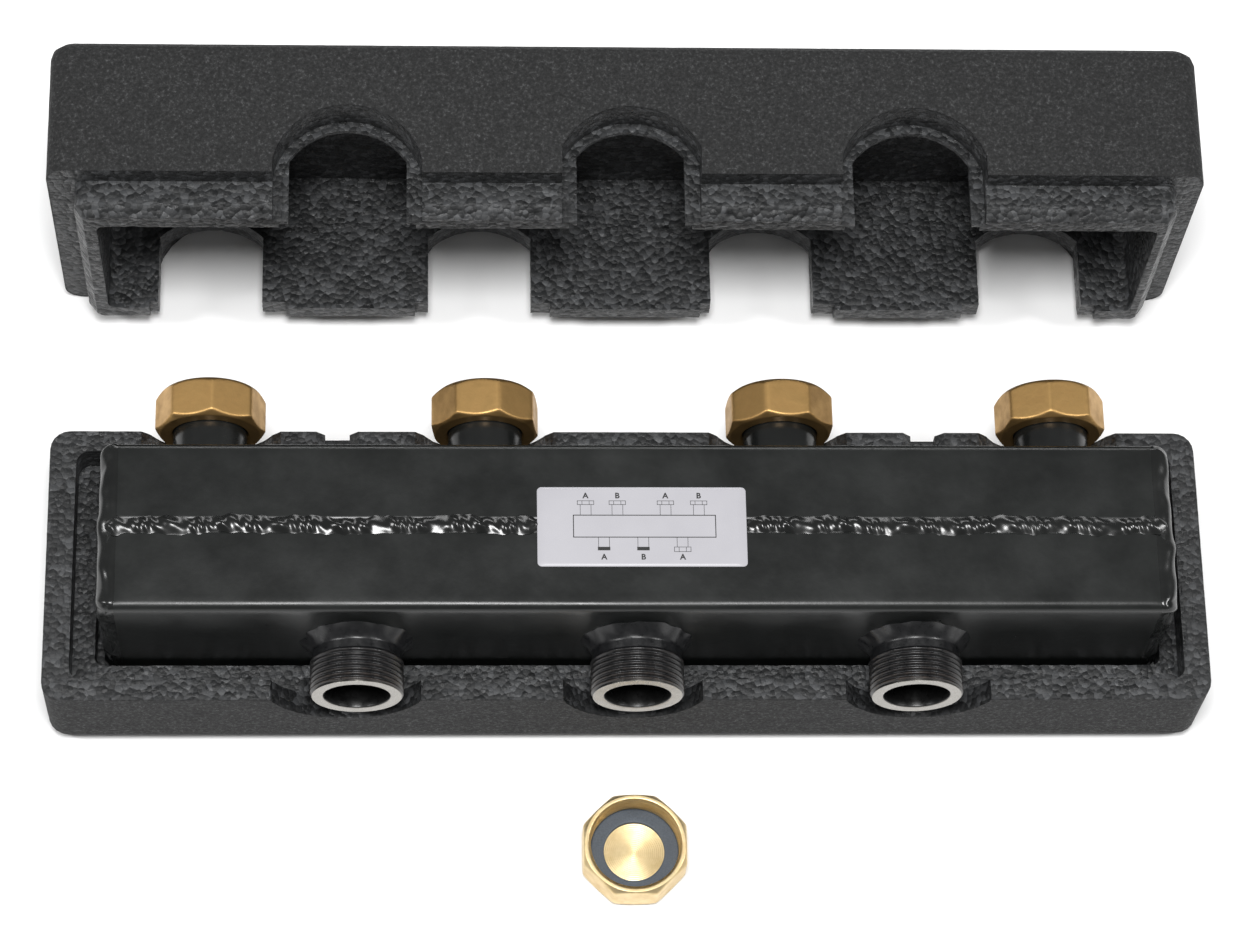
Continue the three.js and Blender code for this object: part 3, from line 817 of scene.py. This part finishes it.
def make_bead(name, node, facing, seed):
    """A grid along X and round the section. On top, u runs from -1 to 1 across and the height
    is (1 - u^2)^1.4, times puddles of 0.74 + 0.26 sin and slow lumps; below it runs back."""
    low, high = span(node)
    steps = int((high[0] - low[0]) / (0.45 * MM))
    x = np.linspace(low[0] - 1.0 * MM, high[0] + 1.0 * MM, steps)[:, None]
    top = np.linspace(-1, 1, 19)
    u = np.concatenate([top, top[-2:0:-3]])[None]
    is_top = (np.arange(u.shape[1]) < len(top))[None]
    end = np.minimum(x - x[0], x[-1] - x)
    closing = np.sqrt(np.clip(end / (4 * MM), 0, 1))
    half_width = 4.5 * MM * (1 + 0.12 * waves(x, (0.031, 0.013, 0.0071), seed)) * closing
    middle = 0.6 * MM * waves(x, (0.09, 0.034), seed + 1) + (low[1] + high[1]) / 2
    phase = x / PUDDLE + 0.4 * waves(x, (0.023, 0.041), seed + 2) + 0.45 * u
    puddles = 0.84 + 0.16 * np.sin(2 * math.pi * phase)
    lumps = 1 + 0.26 * waves(x, (0.027, 0.0125), seed + 3)
    bell = (1 - u ** 2) ** 1.4
    height = np.where(is_top, 1.9 * MM * puddles * lumps * bell, -0.5 * MM * bell) * closing
    base = (BOX_FRONT if facing > 0 else BOX_BACK) - facing * 0.12 * MM
    points = np.stack(np.broadcast_arrays(x, middle + half_width * u, base + facing * height), -1)
    piece = surface(name, points, wrap_rows=False)
    dress(piece, PAINT_GLOSS, "box_paint", node)


make_bead("seam_left", "front_weld_left", 1, 31)
make_bead("seam_right", "front_weld_right", 1, 47)
make_bead("seam_back", "back_weld", -1, 63)

# %% [markdown]
# ## Turned pieces
#
# Nipples, nuts, seals and the cap all come off a lathe: a closed profile of radius against
# height is carried round an axis. The helper lets the radius change with the angle too, and
# that one freedom makes octagons, screw threads and lumpy welds.

# %% Turning helpers
def dense(profile, step):
    """A closed profile with every side cut into pieces of at most one step."""
    pieces = []
    for here, after in zip(profile, np.roll(profile, -1, 0)):
        count = max(math.ceil(np.linalg.norm(after - here) / step), 1)
        pieces.append(here + (after - here) * np.arange(count)[:, None] / count)
    return np.concatenate(pieces)


def turned(name, profile, centre, sides, shape=None, axis="y"):
    """Carries a closed profile of [radius, height] round an axis. At angle a the point lies
    radius * (sin a, cos a) across the axis. shape(a, radius, height) may change both."""
    angle = np.arange(sides)[:, None] * 2 * math.pi / sides
    radius = np.tile(profile[:, 0], (sides, 1))
    height = np.tile(profile[:, 1], (sides, 1))
    if shape:
        radius, height = shape(angle, radius, height)
    across, up = radius * np.sin(angle), radius * np.cos(angle)
    if axis == "y":
        points = np.stack([centre[0] + across, height, centre[1] + up], -1)
    else:
        points = np.stack([centre[0] + across, centre[1] + up, height], -1)
    return surface(name, points)


def soft_min(first, second, blend):
    """The smaller of two values, rounded where they cross over about one blend length."""
    return np.minimum(first, second) - blend * np.log1p(np.exp(-np.abs(first - second) / blend))


def octagon(angle, flat, first_corner, sharpness=60):
    """Radius of an octagon with softened corners: the power mean of eight half-planes that
    lie flat away from the axis. One corner points along first_corner."""
    normals = first_corner + math.pi / 8 + np.arange(8) * math.pi / 4
    facing = np.clip(np.cos(angle[..., None] - normals), 0, None)
    return flat / (facing ** sharpness).sum(-1) ** (1 / sharpness)


def thread_depth(angle, along, pitch):
    """0 on a crest and 1 in a root of a right-hand thread: a rounded wave of the phase
    along / pitch + angle / (2 pi)."""
    phase = along / pitch + angle / (2 * math.pi)
    return 0.5 - 0.5 * np.cos(2 * math.pi * phase)


# %% [markdown]
# ## Upper ports
#
# Each upper port is a short piece of pipe, welded on where it leaves the wall, with a collar
# at its end that the union nut pulls on. The root bead is a swelling of the profile whose size
# wanders round the pipe.

# %% Upper ports
PORT_SIDES = 144


def root_bead(radius, height, root, reach, size, angle, seed):
    """Adds a lumpy swelling to the outer wall, strongest at the root and gone past reach."""
    closeness = np.clip(1 - np.abs(height - root) / reach, 0, 1)
    ripple = 1 + 0.13 * waves(angle, (1.6, 0.9, 0.43), seed, 2 * math.pi)
    puddles = 1 + 0.05 * np.sin(angle * 13 + 3 * closeness)
    return radius + size * closeness ** 1.5 * ripple * puddles


def make_upper_port(number):
    node = f"upper_nipple_{number}"
    low, high = span(node)
    collar = (high[0] - low[0]) / 2
    end = high[1]
    pipe, bore, root = collar - 2.4 * MM, collar - 5 * MM, BOX_UPPER - 0.2 * MM
    bend = np.linspace(0, math.pi / 2, 6)
    fillet = np.stack([pipe + 1.2 * MM * (1 - np.cos(bend)),
                       end - 5.6 * MM + 1.2 * MM * np.sin(bend)], -1)
    edge = np.array([[collar - 0.5 * MM, end - 4.2 * MM], [collar, end - 3.7 * MM],
                     [collar, end - 0.5 * MM], [collar - 0.5 * MM, end], [bore + 0.6 * MM, end],
                     [bore, end - 0.6 * MM], [bore, root], [pipe, root]])
    profile = dense(np.concatenate([fillet, edge]), 1.2 * MM)

    def shape(angle, radius, height):
        outer = radius > bore + 1 * MM
        swollen = root_bead(radius, height, root, 5.5 * MM, 4.2 * MM, angle, 70 + number)
        return np.where(outer, swollen, radius), height

    piece = turned(f"port_{number}", profile, UPPER[number - 1], PORT_SIDES, shape)
    dress(piece, PAINT_GLOSS, "box_paint", node)


for number in range(1, 5):
    make_upper_port(number)

# %% [markdown]
# ## Lower nipples
#
# The lower nipples carry a G 1 1/4 pipe thread with a pitch of 2.309 mm. The thread is a
# helix: its depth depends on the height plus the angle's share of one turn, fades out at the
# shoulder and starts at a small chamfer. The paint was masked or worn off the thread, so the
# metal shows brown on the flanks and bright on the end ring.

# %% Nipple material
def nipple_material():
    """Black enamel, dark worn thread with brown edges, bare end ring and painted shade in the bore."""
    material, tree, shader, place = new_material("nipple_steel")
    worn = mask_value(tree, "worn")
    bare = mask_value(tree, "bare")
    bore = mask_value(tree, "bore")
    grime = noise(tree, place, 2.5 * MM, 5, 0.65)
    fine = noise(tree, place, 0.6 * MM, 3)
    paint = ramp(tree, grime, (0.3, (0.004, 0.0045, 0.005)), (0.7, (0.008, 0.008, 0.009)))
    flank = ramp(tree, grime, (0.35, (0.009, 0.008, 0.008)), (0.75, (0.045, 0.032, 0.024)))
    steel = ramp(tree, fine, (0.3, (0.26, 0.25, 0.23)), (0.7, (0.42, 0.40, 0.37)))
    colour = mix_colour(tree, worn, paint, flank)
    colour = mix_colour(tree, bare, colour, steel)
    # The bore's flat near-black is painted shade inside the pipe.
    colour = mix_colour(tree, bore, colour, (0.006, 0.006, 0.006))
    tree.links.new(colour, shader.inputs["Base Color"])
    tree.links.new(math_node(tree, "MULTIPLY", bare, 0.9), shader.inputs["Metallic"])
    tree.links.new(ramp(tree, grime, (0.3, 0.24), (0.7, 0.42)), shader.inputs["Roughness"])
    tree.links.new(bump(tree, fine, 0.02 * MM), shader.inputs["Normal"])
    return material


NIPPLE = nipple_material()

# %% Lower nipples
PITCH = 2.309 * MM
THREAD_DEPTH = 1.3 * MM
THREAD_LENGTH = 15.5 * MM


def make_nipple(number):
    """Profile from the end ring along the outside to the weld, and back through the bore."""
    node = f"lower_nipple_{number}"
    low, high = span(node)
    centre = LOWER[number - 1]
    end, root = low[1], BOX_LOWER + 0.2 * MM
    crest, bore, neck = 20.955 * MM, 14.8 * MM, 20.0 * MM
    thread_end = end + THREAD_LENGTH
    profile = dense(np.array([[bore + 0.5 * MM, end], [crest - 0.9 * MM, end],
                              [crest, end + 1.0 * MM], [crest, thread_end],
                              [neck, thread_end + 0.8 * MM], [neck, root],
                              [bore, root], [bore, end + 0.5 * MM]]), 0.33 * MM)
    keep = (profile[:, 0] > bore + 0.1 * MM) | (np.arange(len(profile)) % 8 == 0)
    profile = profile[keep]

    def shape(angle, radius, height):
        outer = radius > neck - 0.6 * MM
        fade = smooth_step(thread_end + 0.5 * MM, thread_end - 2 * MM, height)
        depth = THREAD_DEPTH * thread_depth(angle, height, PITCH) * fade
        cut = np.where(outer & (height < thread_end + 1 * MM) & (height > end + 0.1 * MM), depth, 0)
        swollen = root_bead(radius, height, root, 6.0 * MM, 5.2 * MM, angle, 80 + number)
        return np.where(outer, swollen, radius) - cut, height

    piece = turned(f"nipple_{number}", profile, centre, 216, shape)
    points = corner_points(piece)
    radius = np.hypot(points[:, 0] - centre[0], points[:, 2] - centre[1])
    along = points[:, 1] - end
    paint_mask(piece, "bare", smooth_step(0.5 * MM, 0.2 * MM, along) * (radius > bore + 0.3 * MM))
    crests = smooth_step(neck - 0.1 * MM, crest - 0.1 * MM, radius)
    near_end = 0.25 + 0.75 * smooth_step(9 * MM, 1 * MM, along)
    paint_mask(piece, "worn", (along < THREAD_LENGTH) * crests * near_end)
    # The bore mask marks where painted shade goes inside the pipe.
    paint_mask(piece, "bore", smooth_step(bore + 0.4 * MM, bore + 0.1 * MM, radius))
    dress(piece, NIPPLE, "nipple_steel", node)


for number in range(1, 4):
    make_nipple(number)

# %% [markdown]
# ## Brass
#
# The union nuts are forged and turned brass, dulled by handling: a brown-yellow metal with
# cloudy stains. The blanking cap's brass is a lit copy of the same metal: its lighter colour
# is painted light. One recipe makes both, from a base colour, a stain colour and the gloss.

# %% Brass material
def brass_material(name, clean, stain, shine):
    """Cloudy metal: stains over the clean colour, gloss that follows them, fine scratches."""
    material, tree, shader, place = new_material(name)
    cloud = noise(tree, place, 7 * MM, 5, 0.62)
    grain = noise(tree, place, 0.7 * MM, 3, 0.6)
    tree.links.new(ramp(tree, cloud, (0.32, stain), (0.66, clean)), shader.inputs["Base Color"])
    shader.inputs["Metallic"].default_value = 1.0
    tree.links.new(ramp(tree, cloud, (0.3, shine + 0.14), (0.7, shine)), shader.inputs["Roughness"])
    dull = bump(tree, cloud, 0.12 * MM)
    tree.links.new(bump(tree, grain, 0.03 * MM, 1.0, dull), shader.inputs["Normal"])
    return material


NUT_BRASS = brass_material("union_nut_brass", (0.52, 0.325, 0.125), (0.40, 0.245, 0.095), 0.40)
# The cap's lighter brass colours are painted light: a lit copy of the nut brass.
CAP_BRASS = brass_material("cap_brass", (0.80, 0.64, 0.37), (0.66, 0.50, 0.26), 0.36)

# %% [markdown]
# ## Union nuts
#
# A union nut is an octagon bar, turned to a cone at both ends, so that each face meets the
# cone in a curved crest. We get this by taking the smaller of two radii at every point: the
# octagon's and the cone's. A soft minimum rounds the crest as wear does. Inside, a lip holds
# the collar and a pipe thread fills the mouth.

# %% Union nuts
NUT_TURNS = np.radians([4, 14, -17, -7])
NUT_LIP = 4 * MM
NUT_SIDES = 240


def nut_profile(low, high, outer, lip_bore, bore, lip):
    """Outline of a nut's wall from the lip's face round to its bore, evenly dense."""
    return dense(np.array([[lip_bore, low + 0.3 * MM], [lip_bore + 0.3 * MM, low], [outer, low],
                           [outer, high], [bore + 0.9 * MM, high], [bore, high - 0.9 * MM],
                           [bore, low + lip], [lip_bore, low + lip]]), 0.42 * MM)


def nut_shape(flat, corner, low, high, face_radius, first_corner, bore, lip):
    """Limits the radius by octagon and cone, and cuts the thread into the bore."""
    slope = (corner - face_radius) / (2.6 * MM)

    def shape(angle, radius, height):
        from_end = np.minimum(height - low, high - height)
        cone = face_radius + slope * from_end
        limit = soft_min(octagon(angle, flat, first_corner), cone, 0.22 * MM)
        in_bore = (np.abs(radius - bore) < 0.05 * MM) & (height > low + lip + 0.3 * MM)
        cut = thread_depth(angle, height, PITCH) * 1.1 * MM - 0.55 * MM
        inner = radius + np.where(in_bore, cut, 0)
        return np.minimum(inner, limit), height

    return shape


def make_nut(number):
    node = f"union_nut_{number}"
    low, high = span(node)
    corner = 25.35 * MM
    flat = corner * math.cos(math.pi / 8)
    bore = 20.4 * MM
    profile = nut_profile(low[1], high[1], corner + 1 * MM, 17.4 * MM, bore, NUT_LIP)
    shape = nut_shape(flat, corner, low[1], high[1], corner - 3 * MM, NUT_TURNS[number - 1],
                      bore, NUT_LIP)
    piece = turned(f"nut_{number}", profile, UPPER[number - 1], NUT_SIDES, shape)
    dress(piece, NUT_BRASS, "nut_brass", node)


for number in range(1, 5):
    make_nut(number)

# %% [markdown]
# ## Flat seals
#
# Each union nut squeezes a flat fibre ring between the collar and the pump group. The
# blanking cap has the same ring in blue-grey. It is a plain turned ring with soft edges, and
# its material shows the pressed fibres.

# %% Seals
def seal_material():
    """Blue-grey fibre: a slow tint, fine speckle and a faint bump."""
    material, tree, shader, place = new_material("fibre_seal")
    speckle = noise(tree, place, 0.8 * MM, 5, 0.7)
    tree.links.new(ramp(tree, speckle, (0.3, (0.050, 0.062, 0.078)), (0.7, (0.095, 0.112, 0.135))),
                   shader.inputs["Base Color"])
    tree.links.new(ramp(tree, speckle, (0.3, 0.5), (0.7, 0.7)), shader.inputs["Roughness"])
    tree.links.new(bump(tree, speckle, 0.05 * MM), shader.inputs["Normal"])
    return material


SEAL = seal_material()


def make_seal(name, node, centre, axis, inner):
    """A ring with a rectangular section and rounded corners, slightly uneven in thickness."""
    low, high = span(node)
    along = 1 if axis == "y" else 2
    outer = (high[0] - low[0]) / 2
    bottom, top = low[along], high[along]
    soft = 0.35 * MM
    profile = dense(np.array([[inner, bottom + soft], [inner + soft, bottom],
                              [outer - soft, bottom], [outer, bottom + soft],
                              [outer, top - soft], [outer - soft, top],
                              [inner + soft, top], [inner, top - soft]]), 0.8 * MM)

    def shape(angle, radius, height):
        sag = 0.08 * MM * waves(angle, (2.1, 1.05), 90, 2 * math.pi)
        return radius, height + np.where(height > (top + bottom) / 2, sag, 0)

    piece = turned(name, profile, centre, 120, shape, axis)
    dress(piece, SEAL, "gasket", node)


for number in range(1, 5):
    make_seal(f"seal_{number}", f"upper_gasket_{number}", UPPER[number - 1], "y", 14.25 * MM)

# %% [markdown]
# ## The blanking cap
#
# The cap closes the unused nipple. It is the same octagon and cone as the nuts, with a floor.
# The floor was faced on a lathe, so it carries rings; they are cut into the mesh as a fine
# wave of the radius, and the bright sectors then appear by themselves.

# %% Cap
CAP_SIDES = 240


def make_cap():
    node = "blanking_cap"
    low, high = span(node)
    centre = np.array([(low[0] + high[0]) / 2, (low[1] + high[1]) / 2])
    corner, bore, floor = 25.35 * MM, 20.6 * MM, 4 * MM
    flat = corner * math.cos(math.pi / 8)
    disc = np.stack([np.linspace(bore, 0, 200), np.full(200, low[2] + floor)], -1)
    wall = dense(np.array([[0.0, low[2]], [corner + 1 * MM, low[2]],
                           [corner + 1 * MM, high[2]], [bore + 0.7 * MM, high[2]],
                           [bore, high[2] - 0.7 * MM], [bore, low[2] + floor]]), 0.45 * MM)
    wall = wall[:np.argmin(np.abs(wall - [bore, low[2] + floor]).sum(1))]
    profile = np.concatenate([wall, disc])
    shape_nut = nut_shape(flat, corner, low[2], high[2], corner - 2.6 * MM, math.pi / 8,
                          bore, floor)

    def shape(angle, radius, height):
        rings = np.sin(radius * 2 * math.pi / (0.9 * MM))
        on_disc = np.abs(height - (low[2] + floor)) < 1e-7
        inside = radius < 14 * MM
        radius, height = shape_nut(angle, radius, height)
        return radius, height + np.where(on_disc & inside, 0.05 * MM * rings, 0)

    angle = np.arange(CAP_SIDES)[:, None] * 2 * math.pi / CAP_SIDES
    radius = np.tile(profile[:, 0], (CAP_SIDES, 1))
    height = np.tile(profile[:, 1], (CAP_SIDES, 1))
    radius, height = shape(angle, radius, height)
    points = np.stack([centre[0] + radius * np.sin(angle), centre[1] + radius * np.cos(angle),
                       height], -1)
    piece = surface("cap", points, wrap_cols=False)
    dress(piece, CAP_BRASS, "cap_brass", node)
    make_seal("cap_seal", "cap_gasket", centre, "z", 13.75 * MM)
    return centre


CAP_CENTRE = make_cap()

# %% [markdown]
# ## The label
#
# A white film shows which port belongs to which circuit. The film is a thin sheet with round
# corners: rows shrink from the rim to the middle, and the first rows roll over the edge. The
# drawing on it is its own thin mesh, so it stays crisp at any distance.

# %% Label film
def film_material():
    """White film, slightly blue, with faint clouds in colour and gloss."""
    material, tree, shader, place = new_material("label_film")
    cloud = noise(tree, place, 25 * MM, 3)
    tree.links.new(ramp(tree, cloud, (0.3, (0.385, 0.38, 0.405)), (0.7, (0.405, 0.40, 0.425))),
                   shader.inputs["Base Color"])
    tree.links.new(ramp(tree, cloud, (0.3, 0.32), (0.7, 0.42)), shader.inputs["Roughness"])
    tree.links.new(bump(tree, noise(tree, place, 4 * MM, 2), 0.02 * MM), shader.inputs["Normal"])
    return material


def ink_material():
    """Printer's black with a fine mottle."""
    material, tree, shader, place = new_material("label_ink")
    speckle = noise(tree, place, 0.4 * MM, 3)
    tree.links.new(ramp(tree, speckle, (0.3, 0.010), (0.7, 0.022)), shader.inputs["Base Color"])
    shader.inputs["Roughness"].default_value = 0.45
    return material


LABEL_LOW, LABEL_HIGH = span("label")


def rounded_rectangle(width, height, radius, corner_steps=8, side_steps=14):
    """Outline of a rectangle with round corners about the middle, walked counterclockwise."""
    outline = []
    for quarter, (sx, sy) in enumerate([(1, -1), (1, 1), (-1, 1), (-1, -1)]):
        centre = np.array([sx * (width / 2 - radius), sy * (height / 2 - radius)])
        angle = np.linspace(0, math.pi / 2, corner_steps + 1) + (quarter - 1) * math.pi / 2
        outline.append(centre + radius * np.stack([np.cos(angle), np.sin(angle)], -1))
    loops = []
    for here, after in zip(outline, outline[1:] + outline[:1]):
        side = np.linspace(here[-1], after[0], side_steps + 1)[1:-1]
        loops += [here, side]
    return np.concatenate(loops)


def make_label():
    size = LABEL_HIGH - LABEL_LOW
    middle = (LABEL_HIGH + LABEL_LOW) / 2
    outline = rounded_rectangle(size[0], size[1], 2 * MM)
    rows = np.array([[0, 0], [0.99, 0], [0.998, 0.15], [1.0, 0.45], [0.999, 0.8], [0.995, 1.0],
                     [0.9, 1.0], [0.6, 1.0], [0.3, 1.0], [0, 1.0]])
    flat = outline[None] * rows[:, 0][:, None, None]
    lift = np.broadcast_to(rows[:, 1][:, None], flat.shape[:2]) * (size[2] + 0.25 * MM)
    z = LABEL_LOW[2] - 0.25 * MM + lift
    points = np.stack([middle[0] + flat[..., 0], middle[1] + flat[..., 1], z], -1)
    piece = surface("label_film", points, wrap_rows=False)
    dress(piece, film_material(), "label", "label")


make_label()

# %% [markdown]
# ## The drawing on the label
#
# The print is a line diagram: the box as a rectangle, a stub with a nut for each port, two
# stubs with a black seal, and the letters of the circuits. Every stroke is a thin slab given
# by its corners, and all slabs are made at once. The letters start as text and become a mesh
# before they are moved.

# %% Label print
INK_Z = LABEL_HIGH[2]
INK_HEIGHT = 0.04 * MM
DIAGRAM_LEFT, DIAGRAM_RIGHT, DIAGRAM_LOW, DIAGRAM_HIGH = 16.1, 79.2, 14.0, 24.5


def frame_strokes(left, right, low, high, line):
    """Four strokes along the border of a rectangle."""
    half = line / 2
    return [(left - half, low - half, right + half, low + half),
            (left - half, high - half, right + half, high + half),
            (left - half, low, left + half, high), (right - half, low, right + half, high)]


def diagram_strokes():
    """Left, low, right and high of every stroke, in millimetres from the label's corner."""
    strokes = frame_strokes(DIAGRAM_LEFT, DIAGRAM_RIGHT, DIAGRAM_LOW, DIAGRAM_HIGH, 0.4)
    for x in (21.6, 35.7, 57.1, 71.9):
        strokes += [(x - 2.5, 24.5, x - 2.3, 29.6), (x + 2.3, 24.5, x + 2.5, 29.6)]
        strokes += frame_strokes(x - 3.65, x + 3.65, 29.6, 31.4, 0.22)
        strokes += [(x - 1.7, 29.6, x - 1.5, 31.4), (x + 1.5, 29.6, x + 1.7, 31.4)]
    for x in (29.5, 46.9, 64.3):
        strokes += [(x - 2.5, 9.3, x - 2.3, 14.0), (x + 2.3, 9.3, x + 2.5, 14.0)]
    strokes += [(x - 2.75, 7.7, x + 2.75, 9.35) for x in (29.5, 46.9)]
    strokes += frame_strokes(64.3 - 3.65, 64.3 + 3.65, 7.1, 9.3, 0.22)
    strokes += [(62.6, 7.1, 62.8, 9.3), (65.8, 7.1, 66.0, 9.3)]
    return np.array(strokes)


def slabs(strokes):
    """Eight corners and six faces for every stroke, as whole arrays."""
    x = strokes[:, [0, 2, 2, 0]] * MM + LABEL_LOW[0]
    y = strokes[:, [1, 1, 3, 3]] * MM + LABEL_LOW[1]
    bottom = np.stack([x, y, np.full_like(x, INK_Z - 0.02 * MM)], -1)
    top = bottom + [0, 0, 0.02 * MM + INK_HEIGHT]
    points = np.concatenate([bottom, top], 1).reshape(-1, 3)
    box = np.array([[3, 2, 1, 0], [4, 5, 6, 7], [0, 1, 5, 4], [1, 2, 6, 5], [2, 3, 7, 6],
                    [3, 0, 4, 7]])
    faces = (box[None] + np.arange(len(strokes))[:, None, None] * 8).reshape(-1, 4)
    return points, faces


def letter_mesh(letter, centre):
    """A letter as a thin closed mesh, its middle at a place in millimetres on the label."""
    curve = bpy.data.curves.new("letter", "FONT")
    curve.body = letter
    curve.size = 3.7 * MM
    curve.extrude = INK_HEIGHT / 2
    curve.offset = 0.11 * MM
    curve.resolution_u = 4
    curve.align_x = "CENTER"
    curve.align_y = "CENTER"
    text = bpy.data.objects.new("letter", curve)
    bpy.context.scene.collection.objects.link(text)
    graph = bpy.context.evaluated_depsgraph_get()
    mesh = bpy.data.meshes.new_from_object(text.evaluated_get(graph), depsgraph=graph)
    bpy.data.objects.remove(text)
    place = Vector((LABEL_LOW[0] + centre[0] * MM, LABEL_LOW[1] + centre[1] * MM, INK_Z))
    mesh.transform(Matrix.Translation(place))
    return mesh


def make_print():
    points, faces = slabs(diagram_strokes())
    work = bmesh.new()
    strokes = bpy.data.meshes.new("strokes")
    strokes.from_pydata(points.tolist(), [], faces.tolist())
    work.from_mesh(strokes)
    places = [("A", (21.6, 33.8)), ("B", (35.7, 33.8)), ("A", (57.1, 33.8)), ("B", (71.9, 33.8)),
              ("A", (29.5, 4.5)), ("B", (46.9, 4.5)), ("A", (64.3, 4.5))]
    for letter, centre in places:
        work.from_mesh(letter_mesh(letter, centre))
    mesh = bpy.data.meshes.new("label_print")
    work.to_mesh(mesh)
    work.free()
    piece = bpy.data.objects.new("label_print", mesh)
    bpy.context.scene.collection.objects.link(piece)
    mesh.materials.append(ink_material())
    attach(piece, "header")
    print("label_print:", len(mesh.polygons), "faces")


make_print()

# %% [markdown]
# ## What stays inside
#
# The plate between the chambers and the tubes that pass through them are barely visible down
# the bores. The measured nodes serve as they are and only get the paint.

# %% Dress the hidden steel
for node in ["divider_plate"] + [f"pass_tube_{number}" for number in range(1, 5)]:
    NODES[node].data.materials.clear()
    NODES[node].data.materials.append(PAINT)
